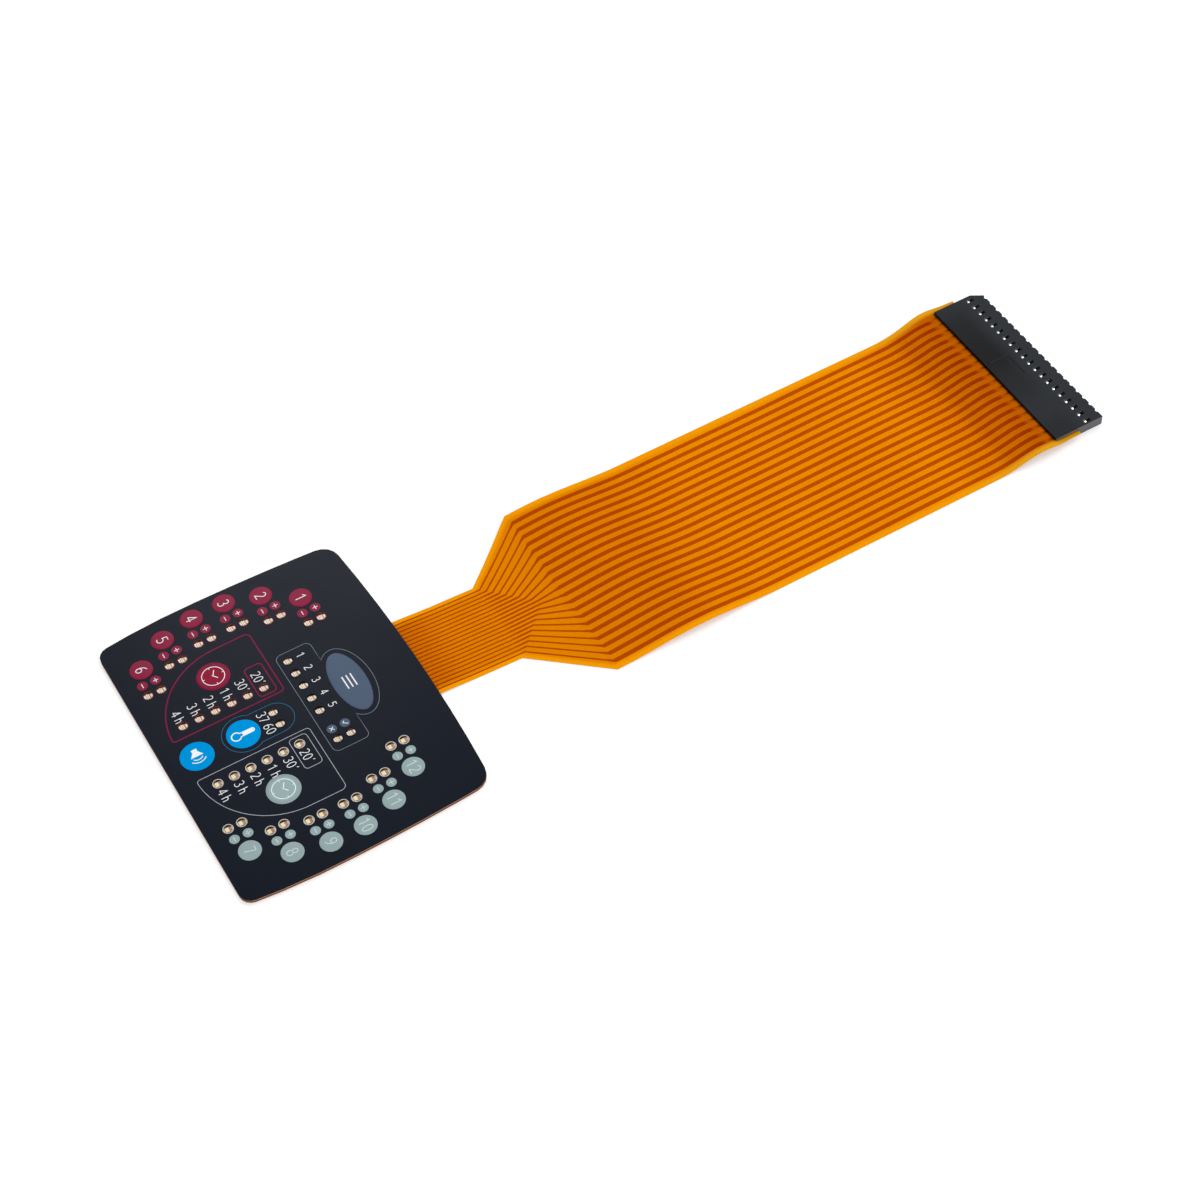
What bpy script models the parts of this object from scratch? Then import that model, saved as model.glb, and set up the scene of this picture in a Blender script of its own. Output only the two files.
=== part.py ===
"""Membrane keypad: a laminated key panel on a flexible circuit whose tail ends in a crimped connector.

Every size is in millimetres and is turned into metres when a mesh is made.
X runs across the keypad, Y runs from the keypad towards the connector, and Z is up.
The origin is the middle of the panel's rear face, which lies on the floor.
"""
import math

import bmesh
import bpy
from mathutils import Matrix

MM = 0.001

# Laminated layers of the panel, from the floor up
LINER_THICKNESS = 0.12
ADHESIVE_THICKNESS = 0.12
FILM_THICKNESS = 0.15
SPACER_THICKNESS = 0.30
OVERLAY_THICKNESS = 0.20
BOND_GAP = 0.03
FILM_INSET = 0.2
ADHESIVE_INSET = 0.3
SPACER_INSET = 0.1

# Outline of the panel
KEY_EDGE_MARGIN = 1.2
WAIST_Y = -8.0
SIDE_RADIUS_BELOW_WAIST = 175.0
SIDE_RADIUS_ABOVE_WAIST = 520.0
FOOT_Y = -31.1
HEAD_Y = 31.1
HEAD_RADIUS = 455.0
FOOT_CORNER_RADIUS = 3.0
HEAD_CORNER_RADIUS = 4.5
SIDE_STEPS = 7
HEAD_STEPS = 8
CORNER_STEPS = 4

# Key layout, measured from the centre of the temperature key
LAYOUT_X = -0.85
LAYOUT_Y = -11.95
NUMBER_KEY_PLACES = (
    (28.25, 28.25),
    (33.75, 20.55),
    (36.40, 12.20),
    (36.25, 3.85),
    (34.15, -4.50),
    (28.85, -12.20),
)
NUMBER_KEY_RADIUS = 2.7
CLOCK_KEY_X = 18.3
CLOCK_KEY_Y = 1.1
CLOCK_KEY_RADIUS = 4.0
ROUND_KEY_RADIUS = 3.9
SOUND_KEY_Y = -11.45
MODE_KEY_X = -0.4
MODE_KEY_Y = 26.95
MODE_KEY_HALF_LENGTH = 9.0
MODE_KEY_HALF_WIDTH = 3.9
KEY_EMBOSS = 0.10
KEY_EMBOSS_SLOPE = 0.35
KEY_SIDES = 20

# Snap domes under the keys
NUMBER_DOME_RADIUS = 2.0
LARGE_DOME_RADIUS = 3.0
DOME_HEIGHT = 0.26
DOME_SHEET = 0.06
DOME_HOLE_MARGIN = 0.35
DOME_SIDES = 12

# Indicator lamps seen through round windows in the overlay
LAMP_LENGTH = 2.0
LAMP_WIDTH = 1.25
LAMP_HEIGHT = 0.32
LAMP_WINDOW_RADIUS = 1.15
LAMP_WINDOW_SIDES = 12
LAMP_SLOT_MARGIN = 0.07
LAMP_SINK = 0.05
PAIR_HALF_SPACING = 1.64
PAIR_FROM_KEY = 7.6
TIMER_COLUMN_X = 9.2
TIMER_FIRST_Y = -10.65
TIMER_PITCH = 4.04
TIMER_COUNT = 6
TEMPERATURE_PAIR_Y = 8.3
TEMPERATURE_HALF_SPACING = 1.85
PROGRAMME_FIRST_X = -13.15
PROGRAMME_PITCH = 4.11
PROGRAMME_COUNT = 5
PROGRAMME_Y = 17.55
CONFIRM_PAIR_X = 12.45
CONFIRM_PAIR_Y = 19.15

# Connector
POSITIONS = 20
PITCH = 2.54
CONNECTOR_X = 1.25
WINDOW_ROW_Y = 202.1
WINDOW_FROM_FRONT = 3.9
END_WALL = 0.2
HOUSING_HEIGHT = 2.6
HOUSING_DEPTH = 13.75
BLOCK_DEPTH = 7.0
TOP_PLATE = 0.60
BOTTOM_PLATE = 0.55
BOTTOM_PLATE_DEPTH = 12.2
WINDOW_WIDTH = 1.05
WINDOW_LENGTH = 1.8
MOUTH_WIDTH = 1.0
MOUTH_DEPTH = 0.9
CAVITY_WIDTH = 1.7
CAVITY_WALL = 0.08
SCALLOP_RADIUS = 0.6
SCALLOP_SIDES = 12
CORNER_CUT_X = 1.8
CORNER_CUT_Y = 2.9
RECESS_WIDTH = 7.6
RECESS_LENGTH = 5.2
RECESS_FROM_REAR = 1.5
RECESS_DEPTH = 0.12

# Crimped contacts
CONTACT_SHEET = 0.20
CONTACT_CLEARANCE = 0.07
CONTACT_BELOW_SLOT_TOP = 0.48
TINE_TIP_GAP = 0.64
TINE_TIP_FROM_FRONT = 1.0
TINE_TIP_LENGTH = 0.5
FORK_REAR_FROM_FRONT = 6.4
FORK_BASE_LENGTH = 0.7
JAW_WIDTH = 0.9
JAW_GAP = 0.06
LOWER_JAW_OVERHANG = 0.8
UPPER_JAW_SETBACK = 1.2

# Tail of the flexible circuit
NARROW_WIDTH = 23.95
NARROW_HEAD_X = 0.45
NARROW_FAN_X = 1.45
FAN_START_Y = 51.9
FAN_END_Y = 68.6
TAIL_SIDE_MARGIN = 0.85
TAIL_OFFSET = 0.15
TAIL_DROP_START = 1.0
TAIL_DROP_LENGTH = 9.0
TAIL_RISE_LENGTH = 18.0
TAIL_LEVEL_BEFORE_HOUSING = 1.4
TAIL_WAVE_HEIGHT = 1.5
TAIL_WAVE_LENGTH = 46.0
TAIL_WAVE_MIDDLE_Y = 83.6
TAIL_WAVE_SLANT = 0.26
BEND_STEPS = 4

# Places that follow from the sizes above
OUTER_KEY_X = max(x for x, _ in NUMBER_KEY_PLACES)
WAIST_HALF_WIDTH = OUTER_KEY_X + NUMBER_KEY_RADIUS + abs(LAYOUT_X) + KEY_EDGE_MARGIN
LAMP_SLOT_RADIUS = math.hypot(LAMP_LENGTH, LAMP_WIDTH) / 2 + LAMP_SLOT_MARGIN
LINER_BOTTOM = 0.0
ADHESIVE_BOTTOM = LINER_BOTTOM + LINER_THICKNESS + BOND_GAP
FILM_BOTTOM = ADHESIVE_BOTTOM + ADHESIVE_THICKNESS + BOND_GAP
SPACER_BOTTOM = FILM_BOTTOM + FILM_THICKNESS + BOND_GAP
OVERLAY_BOTTOM = SPACER_BOTTOM + SPACER_THICKNESS + BOND_GAP
OVERLAY_TOP = OVERLAY_BOTTOM + OVERLAY_THICKNESS
CONNECTOR_LENGTH = POSITIONS * PITCH + 2 * END_WALL
FRONT_Y = WINDOW_ROW_Y + WINDOW_FROM_FRONT
REAR_Y = FRONT_Y - HOUSING_DEPTH
BLOCK_REAR_Y = FRONT_Y - BLOCK_DEPTH
SLOT_BOTTOM = BOTTOM_PLATE
SLOT_TOP = HOUSING_HEIGHT - TOP_PLATE
CONTACT_MIDDLE = SLOT_TOP - CONTACT_BELOW_SLOT_TOP
FILM_IN_SLOT = CONTACT_MIDDLE - FILM_THICKNESS / 2
WIDE_WIDTH = CONNECTOR_LENGTH + 2 * TAIL_SIDE_MARGIN
WIDE_X = CONNECTOR_X + TAIL_OFFSET
FILM_END_Y = BLOCK_REAR_Y - CONTACT_CLEARANCE


def clear_scene():
    """Remove the objects of the default scene."""
    for scene_object in list(bpy.data.objects):
        bpy.data.objects.remove(scene_object, do_unlink=True)


def make_material(name, colour, roughness, metallic=0.0):
    """Return a plain Principled material."""
    material = bpy.data.materials.new(name)
    material.use_nodes = True
    shader = material.node_tree.nodes["Principled BSDF"]
    shader.inputs["Base Color"].default_value = (*colour, 1.0)
    shader.inputs["Roughness"].default_value = roughness
    shader.inputs["Metallic"].default_value = metallic
    return material


def make_mesh(name, shape):
    """Turn a bmesh in millimetres into a mesh in metres, with smooth round faces."""
    bmesh.ops.recalc_face_normals(shape, faces=shape.faces)
    bmesh.ops.scale(shape, vec=(MM, MM, MM), verts=shape.verts)
    mesh = bpy.data.meshes.new(name)
    shape.to_mesh(mesh)
    shape.free()
    mesh.shade_smooth()
    mesh.set_sharp_from_angle(angle=math.radians(30))
    return mesh


def add_object(name, mesh, material=None, place=(0.0, 0.0, 0.0)):
    """Link a new object that shows the mesh at a place given in millimetres."""
    new_object = bpy.data.objects.new(name, mesh)
    new_object.location = [value * MM for value in place]
    if material is not None and not mesh.materials:
        mesh.materials.append(material)
    bpy.context.scene.collection.objects.link(new_object)
    return new_object


def add_cutter(name, shape):
    """Link a helper object that only takes part in a Boolean."""
    cutter = add_object(name, make_mesh(name, shape))
    cutter.hide_render = True
    cutter.display_type = "WIRE"
    return cutter


def add_boolean(target, tool, operation):
    """Cut the tool from the target, or join it on."""
    modifier = target.modifiers.new(tool.name, "BOOLEAN")
    modifier.operation = operation
    modifier.object = tool
    modifier.solver = "EXACT"


def add_prism(shape, outline, bottom, top):
    """Extrude a closed outline of (x, y) points from one height to another."""
    corners = [shape.verts.new((x, y, bottom)) for x, y in outline]
    base = shape.faces.new(corners)
    raised = bmesh.ops.extrude_face_region(shape, geom=[base])["geom"]
    lifted = [item for item in raised if isinstance(item, bmesh.types.BMVert)]
    bmesh.ops.translate(shape, vec=(0.0, 0.0, top - bottom), verts=lifted)


def add_box(shape, x_range, y_range, z_range):
    """Add a box between the given limits."""
    outline = [
        (x_range[0], y_range[0]),
        (x_range[1], y_range[0]),
        (x_range[1], y_range[1]),
        (x_range[0], y_range[1]),
    ]
    add_prism(shape, outline, *z_range)


def circle(centre, radius, sides):
    """Return the points of a circle."""
    points = []
    for step in range(sides):
        angle = 2 * math.pi * (step + 0.5) / sides
        points.append((centre[0] + radius * math.cos(angle), centre[1] + radius * math.sin(angle)))
    return points


def rounded_slot(first, last, radius, sides):
    """Return a slot with round ends about the line from the first point to the last."""
    heading = math.atan2(last[1] - first[1], last[0] - first[0])
    half = sides // 2
    points = []
    for centre, start in ((last, heading - math.pi / 2), (first, heading + math.pi / 2)):
        for step in range(half + 1):
            angle = start + math.pi * step / half
            points.append((centre[0] + radius * math.cos(angle), centre[1] + radius * math.sin(angle)))
    return points


def round_corner(before, corner, after, radius, steps):
    """Return an arc that rounds off the corner between its two neighbours."""
    to_before = math.atan2(before[1] - corner[1], before[0] - corner[0])
    to_after = math.atan2(after[1] - corner[1], after[0] - corner[0])
    opening = (to_before - to_after) % (2 * math.pi)
    setback = radius / math.tan(opening / 2)
    reach = radius / math.sin(opening / 2)
    middle = to_after + opening / 2
    centre = (corner[0] + reach * math.cos(middle), corner[1] + reach * math.sin(middle))
    start = math.atan2(corner[1] + setback * math.sin(to_before) - centre[1],
                       corner[0] + setback * math.cos(to_before) - centre[0])
    sweep = math.pi - opening
    return [
        (centre[0] + radius * math.cos(start + sweep * step / steps),
         centre[1] + radius * math.sin(start + sweep * step / steps))
        for step in range(steps + 1)
    ]


def side_half_width(y, inset):
    """Half width of the panel at a height, from the two arcs of its side."""
    radius = SIDE_RADIUS_ABOVE_WAIST if y > WAIST_Y else SIDE_RADIUS_BELOW_WAIST
    return WAIST_HALF_WIDTH - inset - radius + math.sqrt(radius ** 2 - (y - WAIST_Y) ** 2)


def head_height(x, inset):
    """Height of the panel's slightly crowned head at a place across it."""
    return HEAD_Y - inset - HEAD_RADIUS + math.sqrt(HEAD_RADIUS ** 2 - x ** 2)


def right_side(inset):
    """Return the right side from the foot to the head, with both corners rounded."""
    foot = FOOT_Y + inset
    head = HEAD_Y - inset
    for _ in range(4):
        head = head_height(side_half_width(head, inset), inset)
    heights = [foot + (head - foot) * step / SIDE_STEPS for step in range(SIDE_STEPS + 1)]
    side = [(side_half_width(y, inset), y) for y in heights]
    inner_head_x = side[-1][0] * (1 - 2 / HEAD_STEPS)
    foot_arc = round_corner((0.0, foot), side[0], side[1], FOOT_CORNER_RADIUS, CORNER_STEPS)
    head_arc = round_corner(side[-2], side[-1], (inner_head_x, head_height(inner_head_x, inset)),
                            HEAD_CORNER_RADIUS, CORNER_STEPS)
    return foot_arc + side[1:-1] + head_arc


def head_points(start_x, end_x, inset):
    """Return the points of the head between two places, without the ends."""
    points = []
    for step in range(1, HEAD_STEPS):
        x = start_x + (end_x - start_x) * step / HEAD_STEPS
        points.append((x, head_height(x, inset)))
    return points


def mirrored(points):
    """Return the points mirrored to the other side, in reverse order."""
    return [(-x, y) for x, y in reversed(points)]


def panel_outline(inset):
    """Return the panel's outline, anticlockwise, drawn in by an inset."""
    right = right_side(inset)
    left = mirrored(right)
    return right + head_points(right[-1][0], left[0][0], inset) + left


def tail_outline():
    """Return the tail from its right root, round the connector end, to its left root."""
    right_root = NARROW_HEAD_X + NARROW_WIDTH / 2
    left_root = NARROW_HEAD_X - NARROW_WIDTH / 2
    wide_right = WIDE_X + WIDE_WIDTH / 2
    wide_left = WIDE_X - WIDE_WIDTH / 2
    return [
        (right_root, head_height(right_root, FILM_INSET)),
        (NARROW_FAN_X + NARROW_WIDTH / 2, FAN_START_Y),
        (wide_right, FAN_END_Y),
        (wide_right, FILM_END_Y),
        (wide_left, FILM_END_Y),
        (wide_left, FAN_END_Y),
        (NARROW_FAN_X - NARROW_WIDTH / 2, FAN_START_Y),
        (left_root, head_height(left_root, FILM_INSET)),
    ]


def film_outline():
    """Return the outline of the flexible circuit: its panel part and its tail in one piece."""
    right = right_side(FILM_INSET)
    left = mirrored(right)
    tail = tail_outline()
    right_head = head_points(right[-1][0], tail[0][0], FILM_INSET)
    left_head = head_points(tail[-1][0], left[0][0], FILM_INSET)
    return right + right_head + tail + left_head + left


def smooth_step(value):
    """Ease from 0 to 1."""
    value = min(max(value, 0.0), 1.0)
    return value * value * (3 - 2 * value)


def film_height(x, y):
    """Height of the film's underside: bonded in the panel, down to the floor, and up into the slot."""
    drop = smooth_step((y - HEAD_Y - TAIL_DROP_START) / TAIL_DROP_LENGTH)
    rise_end = REAR_Y - TAIL_LEVEL_BEFORE_HOUSING
    rise = smooth_step((y - rise_end) / TAIL_RISE_LENGTH + 1)
    from_wave = (y - TAIL_WAVE_MIDDLE_Y - TAIL_WAVE_SLANT * x) / TAIL_WAVE_LENGTH
    wave = math.cos(math.pi * from_wave) ** 2 if abs(from_wave) < 0.5 else 0.0
    return FILM_BOTTOM * (1 - drop) + TAIL_WAVE_HEIGHT * wave + FILM_IN_SLOT * rise


def bend_stations():
    """Return the places along the tail where it needs a cross line to bend."""
    rise_start = REAR_Y - TAIL_LEVEL_BEFORE_HOUSING - TAIL_RISE_LENGTH
    wave_reach = TAIL_WAVE_LENGTH + TAIL_WAVE_SLANT * WIDE_WIDTH
    bends = (
        (HEAD_Y + TAIL_DROP_START, TAIL_DROP_LENGTH, BEND_STEPS),
        (TAIL_WAVE_MIDDLE_Y - wave_reach / 2, wave_reach, 3 * BEND_STEPS),
        (rise_start, TAIL_RISE_LENGTH, 2 * BEND_STEPS),
    )
    return [start + length * step / steps for start, length, steps in bends for step in range(steps + 1)]


def on_panel(place):
    """Move a place of the key layout into the panel's frame."""
    return (place[0] + LAYOUT_X, place[1] + LAYOUT_Y)


def key_list():
    """Return each key as its place, half length, half width and dome radius."""
    keys = []
    for side in (-1, 1):
        for x, y in NUMBER_KEY_PLACES:
            keys.append((on_panel((side * x, y)), NUMBER_KEY_RADIUS, NUMBER_KEY_RADIUS, NUMBER_DOME_RADIUS))
        keys.append((on_panel((side * CLOCK_KEY_X, CLOCK_KEY_Y)),
                     CLOCK_KEY_RADIUS, CLOCK_KEY_RADIUS, LARGE_DOME_RADIUS))
    for y in (0.0, SOUND_KEY_Y):
        keys.append((on_panel((0.0, y)), ROUND_KEY_RADIUS, ROUND_KEY_RADIUS, LARGE_DOME_RADIUS))
    keys.append((on_panel((MODE_KEY_X, MODE_KEY_Y)),
                 MODE_KEY_HALF_LENGTH, MODE_KEY_HALF_WIDTH, LARGE_DOME_RADIUS))
    return keys


def lamp_rows():
    """Return the rows of indicator lamps; each row shares one slot in the spacer."""
    rows = []
    for side in (-1, 1):
        for x, y in NUMBER_KEY_PLACES:
            pair_x = side * (x - PAIR_FROM_KEY)
            rows.append([(pair_x, y - PAIR_HALF_SPACING), (pair_x, y + PAIR_HALF_SPACING)])
        rows.append([(side * TIMER_COLUMN_X, TIMER_FIRST_Y + TIMER_PITCH * step) for step in range(TIMER_COUNT)])
    rows.append([(side * TEMPERATURE_HALF_SPACING, TEMPERATURE_PAIR_Y) for side in (-1, 1)])
    rows.append([(PROGRAMME_FIRST_X + PROGRAMME_PITCH * step, PROGRAMME_Y) for step in range(PROGRAMME_COUNT)])
    rows.append([(CONFIRM_PAIR_X, CONFIRM_PAIR_Y + side * PAIR_HALF_SPACING) for side in (-1, 1)])
    return [[on_panel(place) for place in row] for row in rows]


def build_layer(name, inset, bottom, thickness, material):
    """Build one flat layer of the panel."""
    shape = bmesh.new()
    add_prism(shape, panel_outline(inset), bottom, bottom + thickness)
    return add_object(name, make_mesh(name, shape), material)


def build_flex_circuit(material):
    """Build the printed film with its tail, and the lamps soldered on it."""
    shape = bmesh.new()
    add_prism(shape, film_outline(), 0.0, FILM_THICKNESS)
    for station in bend_stations():
        everything = shape.verts[:] + shape.edges[:] + shape.faces[:]
        bmesh.ops.bisect_plane(shape, geom=everything, plane_co=(0.0, station, 0.0), plane_no=(0.0, 1.0, 0.0))
    for corner in shape.verts:
        corner.co.z += film_height(corner.co.x, corner.co.y)
    bmesh.ops.triangulate(shape, faces=shape.faces)
    film = add_object("flex_circuit", make_mesh("flex_circuit", shape), material)

    lamps = bmesh.new()
    lamp_bottom = FILM_BOTTOM + FILM_THICKNESS - LAMP_SINK
    lamp_top = FILM_BOTTOM + FILM_THICKNESS + LAMP_HEIGHT
    for row in lamp_rows():
        for x, y in row:
            add_box(lamps, (x - LAMP_WIDTH / 2, x + LAMP_WIDTH / 2),
                    (y - LAMP_LENGTH / 2, y + LAMP_LENGTH / 2), (lamp_bottom, lamp_top))
    add_boolean(film, add_cutter("lamps", lamps), "UNION")


def build_spacer(material):
    """Build the spacer with a hole for each dome and a slot for each row of lamps."""
    spacer = build_layer("dome_spacer", SPACER_INSET, SPACER_BOTTOM, SPACER_THICKNESS, material)
    low = SPACER_BOTTOM - SPACER_THICKNESS
    high = SPACER_BOTTOM + 2 * SPACER_THICKNESS
    holes = bmesh.new()
    for centre, _, _, dome_radius in key_list():
        add_prism(holes, circle(centre, dome_radius + DOME_HOLE_MARGIN, DOME_SIDES), low, high)
    slots = bmesh.new()
    for row in lamp_rows():
        add_prism(slots, rounded_slot(row[0], row[-1], LAMP_SLOT_RADIUS, LAMP_WINDOW_SIDES), low, high)
    add_boolean(spacer, add_cutter("dome_holes", holes), "DIFFERENCE")
    add_boolean(spacer, add_cutter("lamp_slots", slots), "DIFFERENCE")


def build_overlay(material):
    """Build the printed top film with its lamp windows and low embossed keys."""
    overlay = build_layer("graphic_overlay", 0.0, OVERLAY_BOTTOM, OVERLAY_THICKNESS, material)
    windows = bmesh.new()
    for row in lamp_rows():
        for place in row:
            add_prism(windows, circle(place, LAMP_WINDOW_RADIUS, LAMP_WINDOW_SIDES),
                      OVERLAY_BOTTOM - OVERLAY_THICKNESS, OVERLAY_TOP + OVERLAY_THICKNESS)
    bosses = bmesh.new()
    for centre, half_length, half_width, _ in key_list():
        sunk = OVERLAY_THICKNESS / 2
        shrink = 1 - KEY_EMBOSS_SLOPE / half_width
        placing = Matrix.Translation((centre[0], centre[1], OVERLAY_TOP + (KEY_EMBOSS - sunk) / 2))
        bmesh.ops.create_cone(bosses, cap_ends=True, segments=KEY_SIDES, radius1=1.0, radius2=shrink,
                              depth=KEY_EMBOSS + sunk, matrix=placing @ Matrix.Diagonal((half_length, half_width, 1, 1)))
    add_boolean(overlay, add_cutter("lamp_windows", windows), "DIFFERENCE")
    add_boolean(overlay, add_cutter("key_bosses", bosses), "UNION")


def dome_mesh(radius, material):
    """Turn the section of a thin snap dome about its own axis."""
    rise = DOME_HEIGHT - DOME_SHEET
    outer = [(radius * share, DOME_SHEET + rise * (1 - share ** 2)) for share in (0.0, 0.45, 0.8, 1.0)]
    inner_radius = radius - DOME_SHEET
    inner = [(inner_radius * share, rise * (1 - share ** 2)) for share in (1.0, 0.8, 0.45, 0.0)]
    shape = bmesh.new()
    corners = [shape.verts.new((distance, 0.0, height)) for distance, height in outer + inner]
    section = [shape.edges.new(pair) for pair in zip(corners, corners[1:])]
    bmesh.ops.spin(shape, geom=corners + section, cent=(0, 0, 0), axis=(0, 0, 1),
                   angle=2 * math.pi, steps=DOME_SIDES, use_duplicate=False)
    bmesh.ops.remove_doubles(shape, verts=shape.verts, dist=DOME_SHEET / 10)
    mesh = make_mesh("snap_dome", shape)
    mesh.materials.append(material)
    return mesh


def build_domes(material):
    """Place a snap dome on the film under each key."""
    meshes = {radius: dome_mesh(radius, material) for radius in (NUMBER_DOME_RADIUS, LARGE_DOME_RADIUS)}
    for number, (centre, _, _, radius) in enumerate(key_list(), start=1):
        add_object(f"snap_dome_{number:02d}", meshes[radius], place=(centre[0], centre[1], SPACER_BOTTOM))


def position_places():
    """Return the place across the connector of each of its positions."""
    return [CONNECTOR_X + (index - (POSITIONS - 1) / 2) * PITCH for index in range(POSITIONS)]


def build_housing(material):
    """Build the moulded housing: a front block with a cut corner, and two plates behind it that hold the film."""
    section = [
        (FRONT_Y, 0.0),
        (FRONT_Y, HOUSING_HEIGHT),
        (REAR_Y, HOUSING_HEIGHT),
        (REAR_Y, SLOT_TOP),
        (BLOCK_REAR_Y, SLOT_TOP),
        (BLOCK_REAR_Y, SLOT_BOTTOM),
        (FRONT_Y - BOTTOM_PLATE_DEPTH, SLOT_BOTTOM),
        (FRONT_Y - BOTTOM_PLATE_DEPTH, 0.0),
    ]
    left = CONNECTOR_X - CONNECTOR_LENGTH / 2
    shape = bmesh.new()
    profile = shape.faces.new([shape.verts.new((left, y, z)) for y, z in section])
    raised = bmesh.ops.extrude_face_region(shape, geom=[profile])["geom"]
    moved = [item for item in raised if isinstance(item, bmesh.types.BMVert)]
    bmesh.ops.translate(shape, vec=(CONNECTOR_LENGTH, 0.0, 0.0), verts=moved)
    housing = add_object("connector_housing", make_mesh("connector_housing", shape), material)

    cavities = bmesh.new()
    windows = bmesh.new()
    for x in position_places():
        half_mouth = MOUTH_WIDTH / 2
        half_cavity = CAVITY_WIDTH / 2
        mouth_rear = FRONT_Y - MOUTH_DEPTH
        past_front = FRONT_Y + MOUTH_DEPTH
        past_block = BLOCK_REAR_Y - MOUTH_DEPTH
        plan = [
            (x + half_mouth, past_front),
            (x - half_mouth, past_front),
            (x - half_mouth, mouth_rear),
            (x - half_cavity, mouth_rear),
            (x - half_cavity, past_block),
            (x + half_cavity, past_block),
            (x + half_cavity, mouth_rear),
            (x + half_mouth, mouth_rear),
        ]
        add_prism(cavities, plan, SLOT_BOTTOM + CAVITY_WALL, SLOT_TOP - CAVITY_WALL)
        add_box(windows, (x - WINDOW_WIDTH / 2, x + WINDOW_WIDTH / 2),
                (WINDOW_ROW_Y - WINDOW_LENGTH / 2, WINDOW_ROW_Y + WINDOW_LENGTH / 2),
                (-HOUSING_HEIGHT, 2 * HOUSING_HEIGHT))
    add_boolean(housing, add_cutter("contact_cavities", cavities), "DIFFERENCE")
    add_boolean(housing, add_cutter("inspection_windows", windows), "DIFFERENCE")

    scallops = bmesh.new()
    for x in position_places()[:-1]:
        add_prism(scallops, circle((x + PITCH / 2, FRONT_Y + SCALLOP_RADIUS / 3), SCALLOP_RADIUS, SCALLOP_SIDES),
                  -HOUSING_HEIGHT, 2 * HOUSING_HEIGHT)
    corner = bmesh.new()
    add_prism(corner, [(left, FRONT_Y - CORNER_CUT_Y), (left + CORNER_CUT_X, FRONT_Y),
                       (left + CORNER_CUT_X, FRONT_Y + PITCH), (left - PITCH, FRONT_Y + PITCH),
                       (left - PITCH, FRONT_Y - CORNER_CUT_Y)],
              -HOUSING_HEIGHT, 2 * HOUSING_HEIGHT)
    recess = bmesh.new()
    recess_rear = REAR_Y + RECESS_FROM_REAR
    add_box(recess, (CONNECTOR_X - RECESS_WIDTH / 2, CONNECTOR_X + RECESS_WIDTH / 2),
            (recess_rear, recess_rear + RECESS_LENGTH), (HOUSING_HEIGHT - RECESS_DEPTH, 2 * HOUSING_HEIGHT))
    add_boolean(housing, add_cutter("front_scallops", scallops), "DIFFERENCE")
    add_boolean(housing, add_cutter("first_position_corner", corner), "DIFFERENCE")
    add_boolean(housing, add_cutter("top_recess", recess), "DIFFERENCE")


def contact_mesh(material):
    """Make one contact: a fork that grips a pin, and two jaws that grip the film."""
    half_fork = CAVITY_WIDTH / 2 - CONTACT_CLEARANCE
    half_tip = TINE_TIP_GAP / 2
    half_inside = half_fork - CONTACT_SHEET
    tip_y = FRONT_Y - TINE_TIP_FROM_FRONT
    tip_rear = tip_y - TINE_TIP_LENGTH
    fork_rear = FRONT_Y - FORK_REAR_FROM_FRONT
    fork_front = fork_rear + FORK_BASE_LENGTH
    left_tine = [
        (-half_fork, fork_rear),
        (-half_fork, tip_rear),
        (-half_tip - CONTACT_SHEET, tip_y),
        (-half_tip, tip_y),
        (-half_tip, tip_rear),
        (-half_inside, tip_rear - TINE_TIP_LENGTH),
        (-half_inside, fork_front),
    ]
    lower_top = CONTACT_MIDDLE - FILM_THICKNESS / 2 - JAW_GAP
    upper_bottom = CONTACT_MIDDLE + FILM_THICKNESS / 2 + JAW_GAP
    lower_bottom = lower_top - CONTACT_SHEET
    upper_top = upper_bottom + CONTACT_SHEET
    shape = bmesh.new()
    add_prism(shape, left_tine + mirrored(left_tine), lower_bottom, upper_top)
    fork = add_cutter("contact_fork", shape)

    jaws = bmesh.new()
    section = [
        (fork_front - CONTACT_SHEET, lower_bottom),
        (fork_front - CONTACT_SHEET, upper_top),
        (REAR_Y + UPPER_JAW_SETBACK, upper_top),
        (REAR_Y + UPPER_JAW_SETBACK, upper_bottom),
        (fork_rear, upper_bottom),
        (fork_rear, lower_top),
        (REAR_Y - LOWER_JAW_OVERHANG, lower_top),
        (REAR_Y - LOWER_JAW_OVERHANG, lower_bottom),
    ]
    profile = jaws.faces.new([jaws.verts.new((-JAW_WIDTH / 2, y, z)) for y, z in section])
    raised = bmesh.ops.extrude_face_region(jaws, geom=[profile])["geom"]
    moved = [item for item in raised if isinstance(item, bmesh.types.BMVert)]
    bmesh.ops.translate(jaws, vec=(JAW_WIDTH, 0.0, 0.0), verts=moved)
    joined = add_cutter("contact_jaws", jaws)
    add_boolean(joined, fork, "UNION")
    seen = joined.evaluated_get(bpy.context.evaluated_depsgraph_get())
    mesh = bpy.data.meshes.new_from_object(seen)
    mesh.name = "contact"
    mesh.materials.append(material)
    return mesh


def build_contacts(material):
    """Place a contact in each position of the connector."""
    mesh = contact_mesh(material)
    for number, x in enumerate(position_places(), start=1):
        add_object(f"contact_{number:02d}", mesh, place=(x, 0.0, 0.0))


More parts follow.
